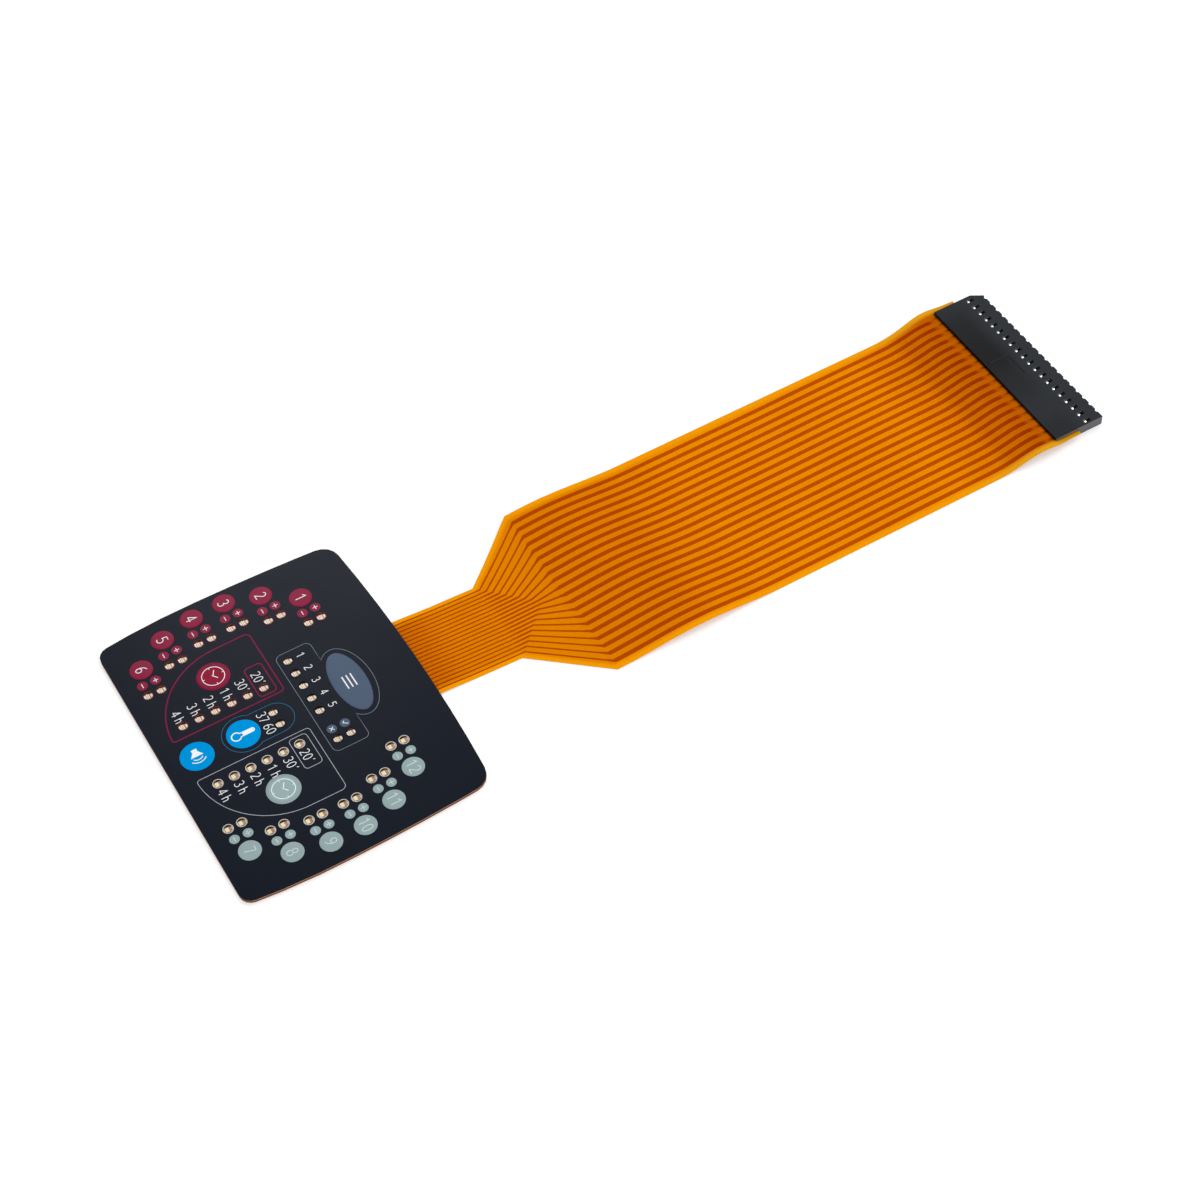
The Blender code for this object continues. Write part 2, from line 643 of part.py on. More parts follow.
def main():
    """Build the keypad, layer by layer, and then its connector."""
    clear_scene()
    liner = make_material("liner_paper", (0.33, 0.16, 0.09), 0.8)
    adhesive = make_material("clear_adhesive", (0.75, 0.70, 0.60), 0.4)
    film = make_material("amber_film", (0.85, 0.30, 0.02), 0.35)
    spacer = make_material("spacer_film", (0.80, 0.80, 0.78), 0.5)
    dome = make_material("spring_steel", (0.75, 0.75, 0.74), 0.25, 1.0)
    overlay = make_material("overlay_film", (0.010, 0.013, 0.022), 0.5)
    housing = make_material("housing_plastic", (0.028, 0.030, 0.034), 0.5)
    contact = make_material("tinned_bronze", (0.70, 0.66, 0.58), 0.3, 1.0)

    build_layer("release_liner", 0.0, LINER_BOTTOM, LINER_THICKNESS, liner)
    build_layer("rear_adhesive", ADHESIVE_INSET, ADHESIVE_BOTTOM, ADHESIVE_THICKNESS, adhesive)
    build_flex_circuit(film)
    build_spacer(spacer)
    build_domes(dome)
    build_overlay(overlay)
    build_housing(housing)
    build_contacts(contact)


main()
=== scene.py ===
import math

import bmesh
import bpy
from mathutils import Matrix, Vector


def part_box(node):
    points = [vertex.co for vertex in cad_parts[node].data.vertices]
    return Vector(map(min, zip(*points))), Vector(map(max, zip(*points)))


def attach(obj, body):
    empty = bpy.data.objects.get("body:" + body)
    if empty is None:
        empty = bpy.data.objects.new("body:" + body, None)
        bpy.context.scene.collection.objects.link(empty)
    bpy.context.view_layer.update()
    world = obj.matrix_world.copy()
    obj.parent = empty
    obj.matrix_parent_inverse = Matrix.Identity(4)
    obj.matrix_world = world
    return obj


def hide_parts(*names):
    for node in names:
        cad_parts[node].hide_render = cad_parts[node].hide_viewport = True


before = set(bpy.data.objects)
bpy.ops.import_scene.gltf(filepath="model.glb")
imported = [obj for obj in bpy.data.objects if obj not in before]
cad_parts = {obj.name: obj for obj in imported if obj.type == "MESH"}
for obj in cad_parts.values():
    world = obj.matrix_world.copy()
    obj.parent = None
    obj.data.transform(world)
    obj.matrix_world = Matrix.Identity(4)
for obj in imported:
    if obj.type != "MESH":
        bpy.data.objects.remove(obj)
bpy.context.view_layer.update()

bl_info = {
    "name": "Membrane keypad dress",
    "version": (1, 0, 0),
    "blender": (4, 5, 0),
    "location": "3D View > Sidebar > Keypad",
    "description": "Models the print, lamps, printed film and connector of a membrane keypad",
    "category": "Object",
}

MM = 0.001
BODY = "root"

# Keys in the order of the domes under them
LEFT_NUMBERS = range(1, 7)
LEFT_CLOCK = 7
RIGHT_NUMBERS = range(8, 14)
RIGHT_CLOCK = 14
TEMPERATURE_KEY = 15
SOUND_KEY = 16
MODE_KEY = 17
LAST_CONTACT = 20


def middle(node):
    """Centre of a node in plan, in millimetres."""
    low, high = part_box(node)
    return ((low.x + high.x) / 2 / MM, (low.y + high.y) / 2 / MM)


def key_place(number):
    """Centre of a key, which lies over its dome."""
    return middle(f"snap_dome_{number:02d}")


LAYOUT_X, LAYOUT_Y = key_place(TEMPERATURE_KEY)
KEY_EMBOSS = 0.10
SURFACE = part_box("graphic_overlay")[1].z / MM - KEY_EMBOSS
BOND_GAP = 0.03
FILM_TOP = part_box("dome_spacer")[0].z / MM - BOND_GAP
PANEL_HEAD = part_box("graphic_overlay")[1].y / MM
HOUSING_LOW = [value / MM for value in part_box("connector_housing")[0]]
HOUSING_HIGH = [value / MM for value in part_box("connector_housing")[1]]
HOUSING_REAR = HOUSING_LOW[1]
HOUSING_FRONT = HOUSING_HIGH[1]
PITCH = (middle(f"contact_{LAST_CONTACT:02d}")[0] - middle("contact_01")[0]) / (LAST_CONTACT - 1)
CONNECTOR_X = (middle("contact_01")[0] + middle(f"contact_{LAST_CONTACT:02d}")[0]) / 2

# Each contact's place along the connector, in pitches from its middle
CONTACT_STEPS = [index - (LAST_CONTACT - 1) / 2 for index in range(LAST_CONTACT)]


def linear(red, green, blue):
    """Turn a screen colour from 0 to 255 into Blender's linear values."""
    values = []
    for value in (red, green, blue):
        share = value / 255
        values.append(share / 12.92 if share <= 0.04045 else ((share + 0.055) / 1.055) ** 2.4)
    return tuple(values)


def plain(value, text, **more):
    """A number, or a row of numbers, that a user may change."""
    kind = bpy.props.FloatVectorProperty if isinstance(value, tuple) else bpy.props.FloatProperty
    return kind(name=text, description=text, default=value, **more)


def sized(value, text):
    """A size in millimetres that a user may change."""
    return plain(value, text + ", in millimetres", min=0.0)


def tinted(value, text):
    """A colour that a user may change."""
    return plain(linear(*value), text, subtype="COLOR", size=3, min=0.0, max=1.0)


class KeypadPrintSettings(bpy.types.PropertyGroup):
    """Sizes and colours of the printed overlay."""
    number_radius: sized(2.72, "Radius of a numbered key")
    grey_radius: sized(2.60, "Radius of a numbered key on the grey side")
    clock_radius: sized(3.95, "Radius of a clock key")
    clock_field: sized(3.15, "Radius of the printed field inside a clock key")
    round_radius: sized(3.92, "Radius of the sound and temperature keys")
    mode_half_length: sized(9.05, "Half length of the oval key")
    mode_half_width: sized(3.95, "Half width of the oval key")
    mark_radius: sized(1.25, "Radius of a small plus or minus field")
    grey_mark_radius: sized(1.18, "Radius of a small field on the grey side")
    line_width: sized(0.145, "Width of the grey printed outlines")
    red_line_width: sized(0.34, "Width of the red printed outline")
    black: tinted((6, 14, 28), "Ground colour of the overlay")
    red: tinted((138, 28, 62), "Colour of the red number keys")
    bright_red: tinted((142, 6, 46), "Colour of the red clock key")
    grey: tinted((150, 171, 172), "Colour of the grey keys")
    pale_grey: tinted((152, 177, 176), "Colour of the grey clock key's field")
    blue: tinted((0, 151, 224), "Colour of the blue keys")
    slate: tinted((76, 92, 115), "Colour of the oval mode key")
    white: tinted((248, 249, 252), "Colour of the printed figures")
    soft_white: tinted((212, 224, 224), "Colour of the figures on the grey keys")
    red_line: tinted((132, 22, 68), "Colour of the red outline")
    blue_line: tinted((36, 112, 154), "Colour of the blue outline")
    grey_line: tinted((184, 190, 200), "Colour of the grey outlines")
    dim_line: tinted((122, 132, 144), "Colour of the outline round the programmes")


class KeypadLampSettings(bpy.types.PropertyGroup):
    """Sizes and colours of the indicator lamps."""
    length: sized(2.1, "Length of a lamp")
    width: sized(1.5, "Width of a lamp")
    height: sized(0.42, "Height of a lamp")
    ring_inner: sized(1.05, "Inner radius of the ring round a window")
    ring_outer: sized(1.26, "Outer radius of the ring round a window")
    body: tinted((140, 98, 64), "Colour of a lamp's moulded body")
    terminal: tinted((238, 222, 206), "Colour of a lamp's terminals")
    lens: tinted((240, 226, 196), "Colour of a lamp's resin")
    square_lens: tinted((236, 218, 174), "Colour of the resin of the lamps on the grey side")
    red_ring: tinted((112, 20, 32), "Ring colour on the red side")
    pale_ring: tinted((206, 200, 190), "Ring colour on the grey side")


class KeypadFilmSettings(bpy.types.PropertyGroup):
    """Sizes and colours of the printed film."""
    narrow_width: sized(23.95, "Width of the tail at the panel")
    head_x: sized(0.45, "Place across the panel where the tail's middle leaves it")
    fan_x: sized(1.45, "Place across the panel of the tail's middle where it widens")
    fan_start: sized(51.9, "Place along the tail where it starts to widen")
    fan_end: sized(68.6, "Place along the tail where it is at its full width")
    wide_width: sized(52.9, "Width of the tail at the connector")
    offset: sized(0.15, "How far the wide tail's middle lies beside the connector's")
    thickness: sized(0.15, "Thickness of the film")
    track_narrow: sized(0.36, "Width of a conductor in the narrow tail")
    track_fan: sized(0.54, "Width of a conductor in the fan-out")
    track_wide: sized(1.12, "Width of a conductor in the wide tail")
    track_pitch: sized(1.13, "Spacing of the conductors in the narrow tail")
    edge: tinted((246, 155, 4), "Colour of the bare film at its edge")
    far_edge: tinted((226, 158, 26), "Colour of the bare edge at the connector")
    field: tinted((236, 142, 1), "Colour of the film over the conductors")
    track: tinted((192, 79, 1), "Colour of a conductor under the film")


class KeypadStageSettings(bpy.types.PropertyGroup):
    """Camera and light."""
    camera_place: plain((0.34037, -0.09627, 0.47034), "Place of the camera", unit="LENGTH", size=3)
    camera_angles: plain(tuple(math.radians(angle) for angle in (38.44, 2.47, 59.55)), "Turn of the camera",
                         unit="ROTATION", size=3)
    lens: plain(77.65, "Focal length of the camera", unit="CAMERA")
    shift: plain(-0.0011, "Vertical shift of the lens")
    key_power: plain(4.2, "Power of the main light", unit="POWER")
    sheen_power: plain(0.9, "Power of the lamp for the panel's sheen", unit="POWER")
    world_strength: plain(0.55, "Strength of the surroundings")


MATERIALS = {}
PRINT_THICKNESS = 0.012
PRINT_LIFT = 0.006
ROUND_SEGMENTS = 3

# A face counts as looking up from this share of its normal, and a point as at an end within this distance
LOOKS_UP = 0.9
AT_END = 0.01


def select_only(piece):
    """Make one object the selected and active one."""
    bpy.ops.object.select_all(action="DESELECT")
    piece.select_set(True)
    bpy.context.view_layer.objects.active = piece


def set_mode(mode):
    """Go into a mode, such as editing the mesh."""
    bpy.ops.object.mode_set(mode=mode)


def add_object(name, data):
    """Add an object to the scene."""
    piece = bpy.data.objects.new(name, data)
    bpy.context.scene.collection.objects.link(piece)
    return piece


def copy_object(source):
    """Add a copy of an object with a mesh of its own."""
    copy = source.copy()
    copy.data = source.data.copy()
    bpy.context.scene.collection.objects.link(copy)
    return copy


def move_mesh(piece, x, y, z=0.0):
    """Move a piece's mesh by a distance in millimetres."""
    piece.data.transform(Matrix.Translation((x * MM, y * MM, z * MM)))


def bake_place(piece):
    """Move a piece's own place into its mesh."""
    piece.data.transform(piece.matrix_basis)
    piece.matrix_basis = Matrix.Identity(4)


def join_pieces(pieces):
    """Join objects into the first of them."""
    select_only(pieces[0])
    for piece in pieces:
        piece.select_set(True)
    if len(pieces) > 1:
        bpy.ops.object.join()
    return bpy.context.view_layer.objects.active


def copy_to(piece, places):
    """Copy a piece to each place given in millimetres, and join the copies."""
    copies = []
    for x, y in places:
        copies.append(copy_object(piece))
        move_mesh(copies[-1], x, y)
    bpy.data.objects.remove(piece)
    return join_pieces(copies)


def finish_piece(piece, name, material):
    """Set a finished piece at the origin, and give it its name, finish and body."""
    select_only(piece)
    bpy.ops.object.transform_apply(location=True, rotation=True, scale=True)
    piece.name = name
    piece.data.name = name
    piece.data.materials.clear()
    piece.data.materials.append(MATERIALS[material])
    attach(piece, BODY)


def apply_modifiers(piece):
    """Apply every modifier of a piece, in order."""
    select_only(piece)
    for modifier in list(piece.modifiers):
        bpy.ops.object.modifier_apply(modifier=modifier.name)


def shade_by_angle(piece, degrees=60):
    """Shade a piece smooth, apart from edges sharper than an angle."""
    select_only(piece)
    bpy.ops.object.shade_smooth_by_angle(angle=math.radians(degrees))


def add_cylinder(radius, bottom, top, sides, place=(0.0, 0.0)):
    """Add an upright cylinder between two heights."""
    bpy.ops.object.select_all(action="DESELECT")
    bpy.ops.mesh.primitive_cylinder_add(vertices=sides, radius=radius * MM, depth=(top - bottom) * MM,
                                        location=(place[0] * MM, place[1] * MM, (bottom + top) / 2 * MM))
    return bpy.context.active_object


def add_block(low, high):
    """Add a block between two corners."""
    bpy.ops.object.select_all(action="DESELECT")
    centre = [(a + b) / 2 * MM for a, b in zip(low, high)]
    bpy.ops.mesh.primitive_cube_add(size=1.0, location=centre)
    block = bpy.context.active_object
    block.scale = [(b - a) * MM for a, b in zip(low, high)]
    bpy.ops.object.transform_apply(location=True, rotation=False, scale=True)
    return block


def raise_top(piece, inset, lift, edge_round):
    """Inset the top face of a piece, lift it, and round its edges."""
    select_only(piece)
    set_mode("EDIT")
    shape = bmesh.from_edit_mesh(piece.data)
    for face in shape.faces:
        face.select_set(face.normal.z > LOOKS_UP)
    bmesh.update_edit_mesh(piece.data)
    bpy.ops.mesh.inset(thickness=inset * MM, depth=0.0)
    bpy.ops.transform.translate(value=(0.0, 0.0, lift * MM))
    bpy.ops.mesh.bevel(offset=edge_round * MM, segments=ROUND_SEGMENTS, affect="EDGES")
    set_mode("OBJECT")


def bevel_edges(piece, width, segments=ROUND_SEGMENTS, degrees=30):
    """Round the edges of a piece that are sharper than an angle."""
    bevel = piece.modifiers.new("rounded_edges", "BEVEL")
    bevel.width = width * MM
    bevel.segments = segments
    bevel.limit_method = "ANGLE"
    bevel.angle_limit = math.radians(degrees)
    apply_modifiers(piece)


def mesh_object(name, shape):
    """Turn a bmesh shape into an object."""
    bmesh.ops.recalc_face_normals(shape, faces=shape.faces)
    mesh = bpy.data.meshes.new(name)
    shape.to_mesh(mesh)
    shape.free()
    return add_object(name, mesh)


def stroke(paths, width, level=SURFACE, cyclic=True, height=PRINT_THICKNESS):
    """Draw printed lines along paths, as low rounded ribbons on a level surface."""
    data = bpy.data.curves.new("stroke", "CURVE")
    data.dimensions = "3D"
    data.bevel_depth = width / 2 * MM
    data.bevel_resolution = 1
    data.use_fill_caps = True
    for path in paths:
        line = data.splines.new("POLY")
        line.points.add(len(path) - 1)
        line.use_cyclic_u = cyclic
        for point, place in zip(line.points, path):
            point.co = (place[0] * MM, place[1] * MM, 0.0, 1.0)
    select_only(add_object("stroke", data))
    bpy.ops.object.convert(target="MESH")
    ribbon = bpy.context.active_object
    ribbon.data.transform(Matrix.Diagonal((1.0, 1.0, 2 * height / width, 1.0)))
    move_mesh(ribbon, 0.0, 0.0, level)
    return ribbon


def plate(outline, level):
    """Print a thin plate with a closed outline of (x, y) points on a level surface."""
    bottom = level - PRINT_LIFT
    top = level + PRINT_THICKNESS
    shape = bmesh.new()
    base = shape.faces.new([shape.verts.new((x * MM, y * MM, bottom * MM)) for x, y in outline])
    raised = bmesh.ops.extrude_face_region(shape, geom=[base])["geom"]
    lifted = [item for item in raised if isinstance(item, bmesh.types.BMVert)]
    bmesh.ops.translate(shape, vec=(0.0, 0.0, (top - bottom) * MM), verts=lifted)
    return mesh_object("plate", shape)


def arc(centre, radius, start, end, steps, second_radius=None):
    """Points of an arc, or of a part of an ellipse, between two angles in degrees."""
    across = radius if second_radius is None else second_radius
    points = []
    for step in range(steps + 1):
        angle = math.radians(start + (end - start) * step / steps)
        points.append((centre[0] + radius * math.cos(angle), centre[1] + across * math.sin(angle)))
    return points


def circle(centre, radius, steps):
    """Points of a closed circle."""
    return arc(centre, radius, 0, 360, steps)[:-1]


def rounded(corners, steps=6):
    """Round each corner of a closed path of (x, y, radius)."""
    points = []
    count = len(corners)
    for index, (x, y, radius) in enumerate(corners):
        if radius == 0:
            points.append((x, y))
            continue
        corner = Vector((x, y))
        before = (Vector(corners[index - 1][:2]) - corner).normalized()
        after = (Vector(corners[(index + 1) % count][:2]) - corner).normalized()
        half = before.angle(after) / 2
        centre = corner + (before + after).normalized() * radius / math.sin(half)
        first = corner + before * radius / math.tan(half) - centre
        last = corner + after * radius / math.tan(half) - centre
        for step in range(steps + 1):
            arm = first.lerp(last, step / steps)
            arm = arm.normalized() * radius
            points.append((centre.x + arm.x, centre.y + arm.y))
    return points


def rounded_box(left, right, low, high, low_radius, high_radius):
    """Points of a box with rounded corners."""
    return rounded([(left, low, low_radius), (right, low, low_radius), (right, high, high_radius),
                    (left, high, high_radius)])


# Widths that the figures take up, as a share of their height
ADVANCES = {"h": 0.50, "'": 0.30, " ": 0.25}
FIGURE_ADVANCE = 0.62
FIGURE_GAP = 0.06
FIGURE_WEIGHT = 0.079


def figure_strokes(figure):
    """The strokes of one plain figure, in a box of height 1 whose lower left corner is 0, 0."""
    six = [arc((0.28, 0.29), 0.20, 0, 360, 20, 0.24), arc((0.50, 0.30), 0.42, 96, 176, 8, 0.63)]
    shapes = {
        "0": [arc((0.28, 0.50), 0.21, 0, 360, 24, 0.45)],
        "1": [[(0.10, 0.76), (0.31, 0.95)], [(0.31, 0.99), (0.31, 0.05)]],
        "2": [arc((0.27, 0.72), 0.20, 155, -32, 12, 0.23) + [(0.08, 0.10)], [(0.05, 0.07), (0.50, 0.07)]],
        "3": [arc((0.25, 0.73), 0.19, 145, -82, 12, 0.22), arc((0.24, 0.28), 0.23, 84, -145, 12, 0.24)],
        "4": [[(0.38, 0.04), (0.38, 0.97)], [(0.40, 0.95), (0.06, 0.32)], [(0.03, 0.30), (0.53, 0.30)]],
        "5": [[(0.48, 0.93), (0.13, 0.93)], [(0.15, 0.95), (0.12, 0.52)],
              arc((0.23, 0.32), 0.25, 112, -140, 14, 0.26)],
        "6": six,
        "7": [[(0.06, 0.93), (0.50, 0.93)], [(0.50, 0.93), (0.20, 0.04)]],
        "8": [arc((0.28, 0.73), 0.18, 0, 360, 20, 0.21), arc((0.28, 0.28), 0.22, 0, 360, 20, 0.24)],
        "9": [[(0.56 - x, 1.0 - y) for x, y in path] for path in six],
        "h": [[(0.08, 0.04), (0.08, 1.0)], arc((0.25, 0.40), 0.17, 165, 0, 10, 0.22) + [(0.42, 0.04)]],
        "'": [[(0.14, 0.80), (0.22, 0.99)]],
        " ": [],
    }
    return shapes[figure]


def figure_paths(text, place, height, align="CENTER"):
    """The strokes of a row of figures about a place, in millimetres."""
    width = sum(ADVANCES.get(figure, FIGURE_ADVANCE) for figure in text) - FIGURE_GAP
    start = {"LEFT": 0.0, "CENTER": -width / 2, "RIGHT": -width}[align]
    paths = []
    for figure in text:
        for path in figure_strokes(figure):
            paths.append([(place[0] + (start + x) * height, place[1] + (y - 0.5) * height)
                          for x, y in path])
        start += ADVANCES.get(figure, FIGURE_ADVANCE)
    return paths


def moved(place, paths):
    """Move paths by a place."""
    return [[(place[0] + x, place[1] + y) for x, y in path] for path in paths]


def in_layout(points):
    """Move points of the key layout into the panel's frame."""
    return moved((LAYOUT_X, LAYOUT_Y), [points])[0]


# Places of the lamps and printed groups, measured from the temperature key
PAIR_FROM_KEY = 7.6
PAIR_HALF_SPACING = 1.64
MARK_FROM_KEY = 4.38
TIMER_COLUMN = 9.2
TIMER_FIRST = -10.65
TIMER_PITCH = 4.04
TIMER_LABELS = ("4 h", "3 h", "2 h", "1 h", "30'", "20'")
TEMPERATURE_PAIR_Y = 8.3
TEMPERATURE_HALF_SPACING = 1.85
PROGRAMME_FIRST = -13.15
PROGRAMME_PITCH = 4.11
PROGRAMME_Y = 17.55
CONFIRM_X = 12.45
CONFIRM_Y = 19.15
CONFIRM_MARK_X = 9.4


def beside_keys(numbers, distance):
    """Two places beside each numbered key, towards the panel's middle: the lower one, then the upper."""
    places = []
    for number in numbers:
        x, y = key_place(number)
        inward = math.copysign(distance, LAYOUT_X - x)
        places += [(x + inward, y + side * PAIR_HALF_SPACING) for side in (-1, 1)]
    return places


def timer_lamps(side):
    """The places of one column of timer lamps."""
    rows = range(len(TIMER_LABELS))
    return in_layout([(side * TIMER_COLUMN, TIMER_FIRST + TIMER_PITCH * row) for row in rows])


def centre_lamps():
    """The places of the temperature, programme and confirm lamps."""
    places = [(side * TEMPERATURE_HALF_SPACING, TEMPERATURE_PAIR_Y) for side in (-1, 1)]
    places += [(PROGRAMME_FIRST + PROGRAMME_PITCH * step, PROGRAMME_Y) for step in range(5)]
    places += [(CONFIRM_X, CONFIRM_Y + side * PAIR_HALF_SPACING) for side in (-1, 1)]
    return in_layout(places)


def feed(tree, inputs, given):
    """Give each input its value, or link it to the socket that feeds it."""
    for label, value in given.items():
        socket = inputs[label]
        if isinstance(value, bpy.types.NodeSocket):
            tree.links.new(value, socket)
        else:
            socket.default_value = (*value, 1.0) if socket.type == "RGBA" else value


def add_node(tree, kind, given=None, **traits):
    """Add a shader node, set its traits and feed its inputs."""
    node = tree.nodes.new(kind)
    for trait, value in traits.items():
        setattr(node, trait, value)
    feed(tree, node.inputs, given or {})
    return node


def computed(tree, operation, *values):
    """Add a math node; returns its result."""
    return add_node(tree, "ShaderNodeMath", dict(enumerate(values)), operation=operation).outputs["Value"]


def scaled(tree, colour, factor):
    """Scale a colour by a factor; returns the result."""
    node = add_node(tree, "ShaderNodeVectorMath", operation="SCALE")
    feed(tree, node.inputs, {0: colour, "Scale": factor})
    return node.outputs["Vector"]


def mixed(tree, factor, first, second):
    """Mix two colours; returns the result."""
    given = {"Factor": factor, "A": first, "B": second}
    return add_node(tree, "ShaderNodeMix", given, data_type="RGBA").outputs["Result"]


def mapped(tree, value, start, end, low=0.0, high=1.0, kind="SMOOTHSTEP"):
    """Map the values from start to end to those from low to high; returns the result."""
    given = {"Value": value, "From Min": start, "From Max": end, "To Min": low, "To Max": high}
    return add_node(tree, "ShaderNodeMapRange", given, interpolation_type=kind).outputs["Result"]


def parts_of(tree, vector):
    """Split a vector; returns its X, Y and Z."""
    return add_node(tree, "ShaderNodeSeparateXYZ", {"Vector": vector}).outputs


def object_parts(tree, kind="Object"):
    """The place, or the normal, of each point on an object, as X, Y and Z."""
    return parts_of(tree, add_node(tree, "ShaderNodeTexCoord").outputs[kind])


def eased_ramp(tree, value, stops):
    """An eased colour ramp through stops of (position, colour); returns its colour."""
    ramp = add_node(tree, "ShaderNodeValToRGB", {"Fac": value})
    ramp.color_ramp.interpolation = "EASE"
    elements = ramp.color_ramp.elements
    for index, (position, colour) in enumerate(stops):
        stop = elements[index] if index < 2 else elements.new(position)
        stop.position = position
        stop.color = (*colour, 1.0)
    return ramp.outputs["Color"]


def new_group(name, inputs, outputs):
    """Start a shader node group; returns it, what it is given and its outputs."""
    group = bpy.data.node_groups.new(name, "ShaderNodeTree")
    for label, value in inputs.items():
        kind = "NodeSocketColor" if label == "Colour" else "NodeSocketFloat"
        group.interface.new_socket(name=label, in_out="INPUT", socket_type=kind).default_value = value
    for label in outputs:
        kind = "NodeSocketColor" if label == "Colour" else "NodeSocketFloat"
        group.interface.new_socket(name=label, in_out="OUTPUT", socket_type=kind)
    return group, group.nodes.new("NodeGroupInput").outputs, group.nodes.new("NodeGroupOutput").inputs


GROUPS = {}


def group_node(tree, make, given=None, name="group"):
    """Add a shader group that is built once and shared; returns its outputs."""
    if make not in GROUPS:
        GROUPS[make] = make()
    return add_node(tree, "ShaderNodeGroup", given, node_tree=GROUPS[make], name=name).outputs


CLOUD_SCALE = 45.0
CLOUD_DETAIL = 3.0
GRAIN_DETAIL = 2.0
NOISE_MIDDLE = 0.5


def noise(tree, place, scale, detail):
    """Add a noise texture; returns its values."""
    given = {"Vector": place, "Scale": scale, "Detail": detail}
    return add_node(tree, "ShaderNodeTexNoise", given).outputs["Fac"]


def surface_tone_group():
    """Slow changes of tone and fine grain over a surface, for any finish."""
    inputs = {"Colour": (0.5, 0.5, 0.5, 1.0), "Tone": 0.1, "Roughness": 0.5, "Spread": 0.05,
              "Grain Scale": 4000.0, "Speckle": 0.0}
    tree, given, result = new_group("surface_tone", inputs, ("Colour", "Roughness", "Height"))
    place = add_node(tree, "ShaderNodeTexCoord").outputs["Object"]
    cloud = noise(tree, place, CLOUD_SCALE, CLOUD_DETAIL)
    grain = noise(tree, place, given["Grain Scale"], GRAIN_DETAIL)
    slow = computed(tree, "SUBTRACT", cloud, NOISE_MIDDLE)
    fine = computed(tree, "SUBTRACT", grain, NOISE_MIDDLE)
    speckled = computed(tree, "MULTIPLY_ADD", fine, given["Speckle"], 1.0)
    amount = computed(tree, "MULTIPLY_ADD", slow, given["Tone"], speckled)
    feed(tree, result, {
        "Colour": scaled(tree, given["Colour"], amount),
        "Roughness": computed(tree, "MULTIPLY_ADD", slow, given["Spread"], given["Roughness"]),
        "Height": grain,
    })
    return tree


def finish(name, colour, roughness, tone=0.12, spread=0.08, grain=4000.0, bump=0.1, depth=0.02,
           metallic=0.0, specular=0.5, speckle=0.0):
    """Make a material whose tone, roughness and grain change a little over the surface."""
    material = bpy.data.materials.new(name)
    material.use_nodes = True
    tree = material.node_tree
    given = {"Colour": colour, "Tone": tone, "Roughness": roughness, "Spread": spread,
             "Grain Scale": grain, "Speckle": speckle}
    surface = group_node(tree, surface_tone_group, given, "surface")
    relief = add_node(tree, "ShaderNodeBump",
                      {"Strength": bump, "Distance": depth * MM, "Height": surface["Height"]})
    feed(tree, tree.nodes["Principled BSDF"].inputs, {
        "Metallic": metallic, "Specular IOR Level": specular, "Base Color": surface["Colour"],
        "Roughness": surface["Roughness"], "Normal": relief.outputs["Normal"],
    })
    return material


def colour_surface(tree, colour):
    """Feed the colour of a finish from a socket."""
    feed(tree, tree.nodes["surface"].inputs, {"Colour": colour})


# Where along the tail the film starts under the panel and ends in the connector, in millimetres
FILM_UNDER_PANEL = 4.0
TAIL_START = PANEL_HEAD - FILM_UNDER_PANEL
FILM_END_FROM_FRONT = 7.07
TAIL_END = HOUSING_FRONT - FILM_END_FROM_FRONT

# Painted shade of the film at shares of its length from the panel to the connector
FILM_SHADES = ((0.03, 0.74), (0.087, 0.89), (0.19, 0.92), (0.28, 0.86), (0.37, 0.85), (0.43, 0.93),
               (0.50, 0.98), (0.60, 0.98), (0.70, 0.95), (0.80, 0.98), (0.865, 0.87), (0.90, 0.73),
               (0.942, 0.61), (1.0, 0.50))

# Power by which green and blue darken more than red in the painted shade
SHADE_DEPTH = 1.8

# Distances before the housing at which the painted shade at the contacts and the painted shadow of its edge
# darken the film, and the conductors fade, in millimetres
CONTACT_SHADE_REACH = 2.4
EDGE_REACH = 0.80
TRACK_FADE_START = 3.6
TRACK_FADE_END = 1.6

# How strongly they do so, and the part of each contact's wave from which its painted shade starts
CONTACT_SHADE_DEPTH = 0.65
CONTACT_SHADE_START = 0.25
EDGE_SHADE = 0.1
TRACK_FADE = 0.75

# Surface that the film and the conductors under it share
FILM_SURFACE = {"spread": 0.05, "grain": 2500.0, "specular": 0.0, "speckle": 0.25}

# Shares of the film's edge map where its bare border ends, and where the border turns to the far colour
BORDER = (0.07, 0.23)
FAR_BORDER = (0.78, 0.96)

# Painted light and shade on the housing's black at shares of its length, and the painted lighter front
# block, which starts between two distances from the front edge
HOUSING_SHADES = ((0.0, 1.3), (0.15, 0.5), (0.42, 0.15), (0.56, 0.65), (0.80, 1.35), (0.95, 0.8))
HOUSING_BLACK = (26, 29, 33)
# Painted light: the colour of the end faces that look along X, paler as if lit from the side
HOUSING_LIT_END = (96, 96, 98)
FRONT_SHADE = 1.5
FRONT_BLEND = (9.5, 4.5)

# How far a face looks along X where its painted light starts and where it is fully painted pale
END_FACING = (0.5, 0.9)


def length_shade_group():
    """Painted shade of the film at each place along the tail."""
    tree, _, result = new_group("length_shade", {}, ("Colour",))
    # Painted shade: the film darkens towards the panel and the connector
    share = mapped(tree, object_parts(tree)["Y"], TAIL_START * MM, TAIL_END * MM, kind="LINEAR")
    stops = []
    for position, shade in FILM_SHADES:
        deep = shade ** SHADE_DEPTH
        stops.append((position, (shade, deep, deep)))
    feed(tree, result, {"Colour": eased_ramp(tree, share, stops)})
    return tree


def before_housing(tree, y, start, end=0.0, low=0.0, high=1.0):
    """Map the stretch between two distances before the housing to a range of values."""
    return mapped(tree, y, (HOUSING_REAR - start) * MM, (HOUSING_REAR - end) * MM, low, high)


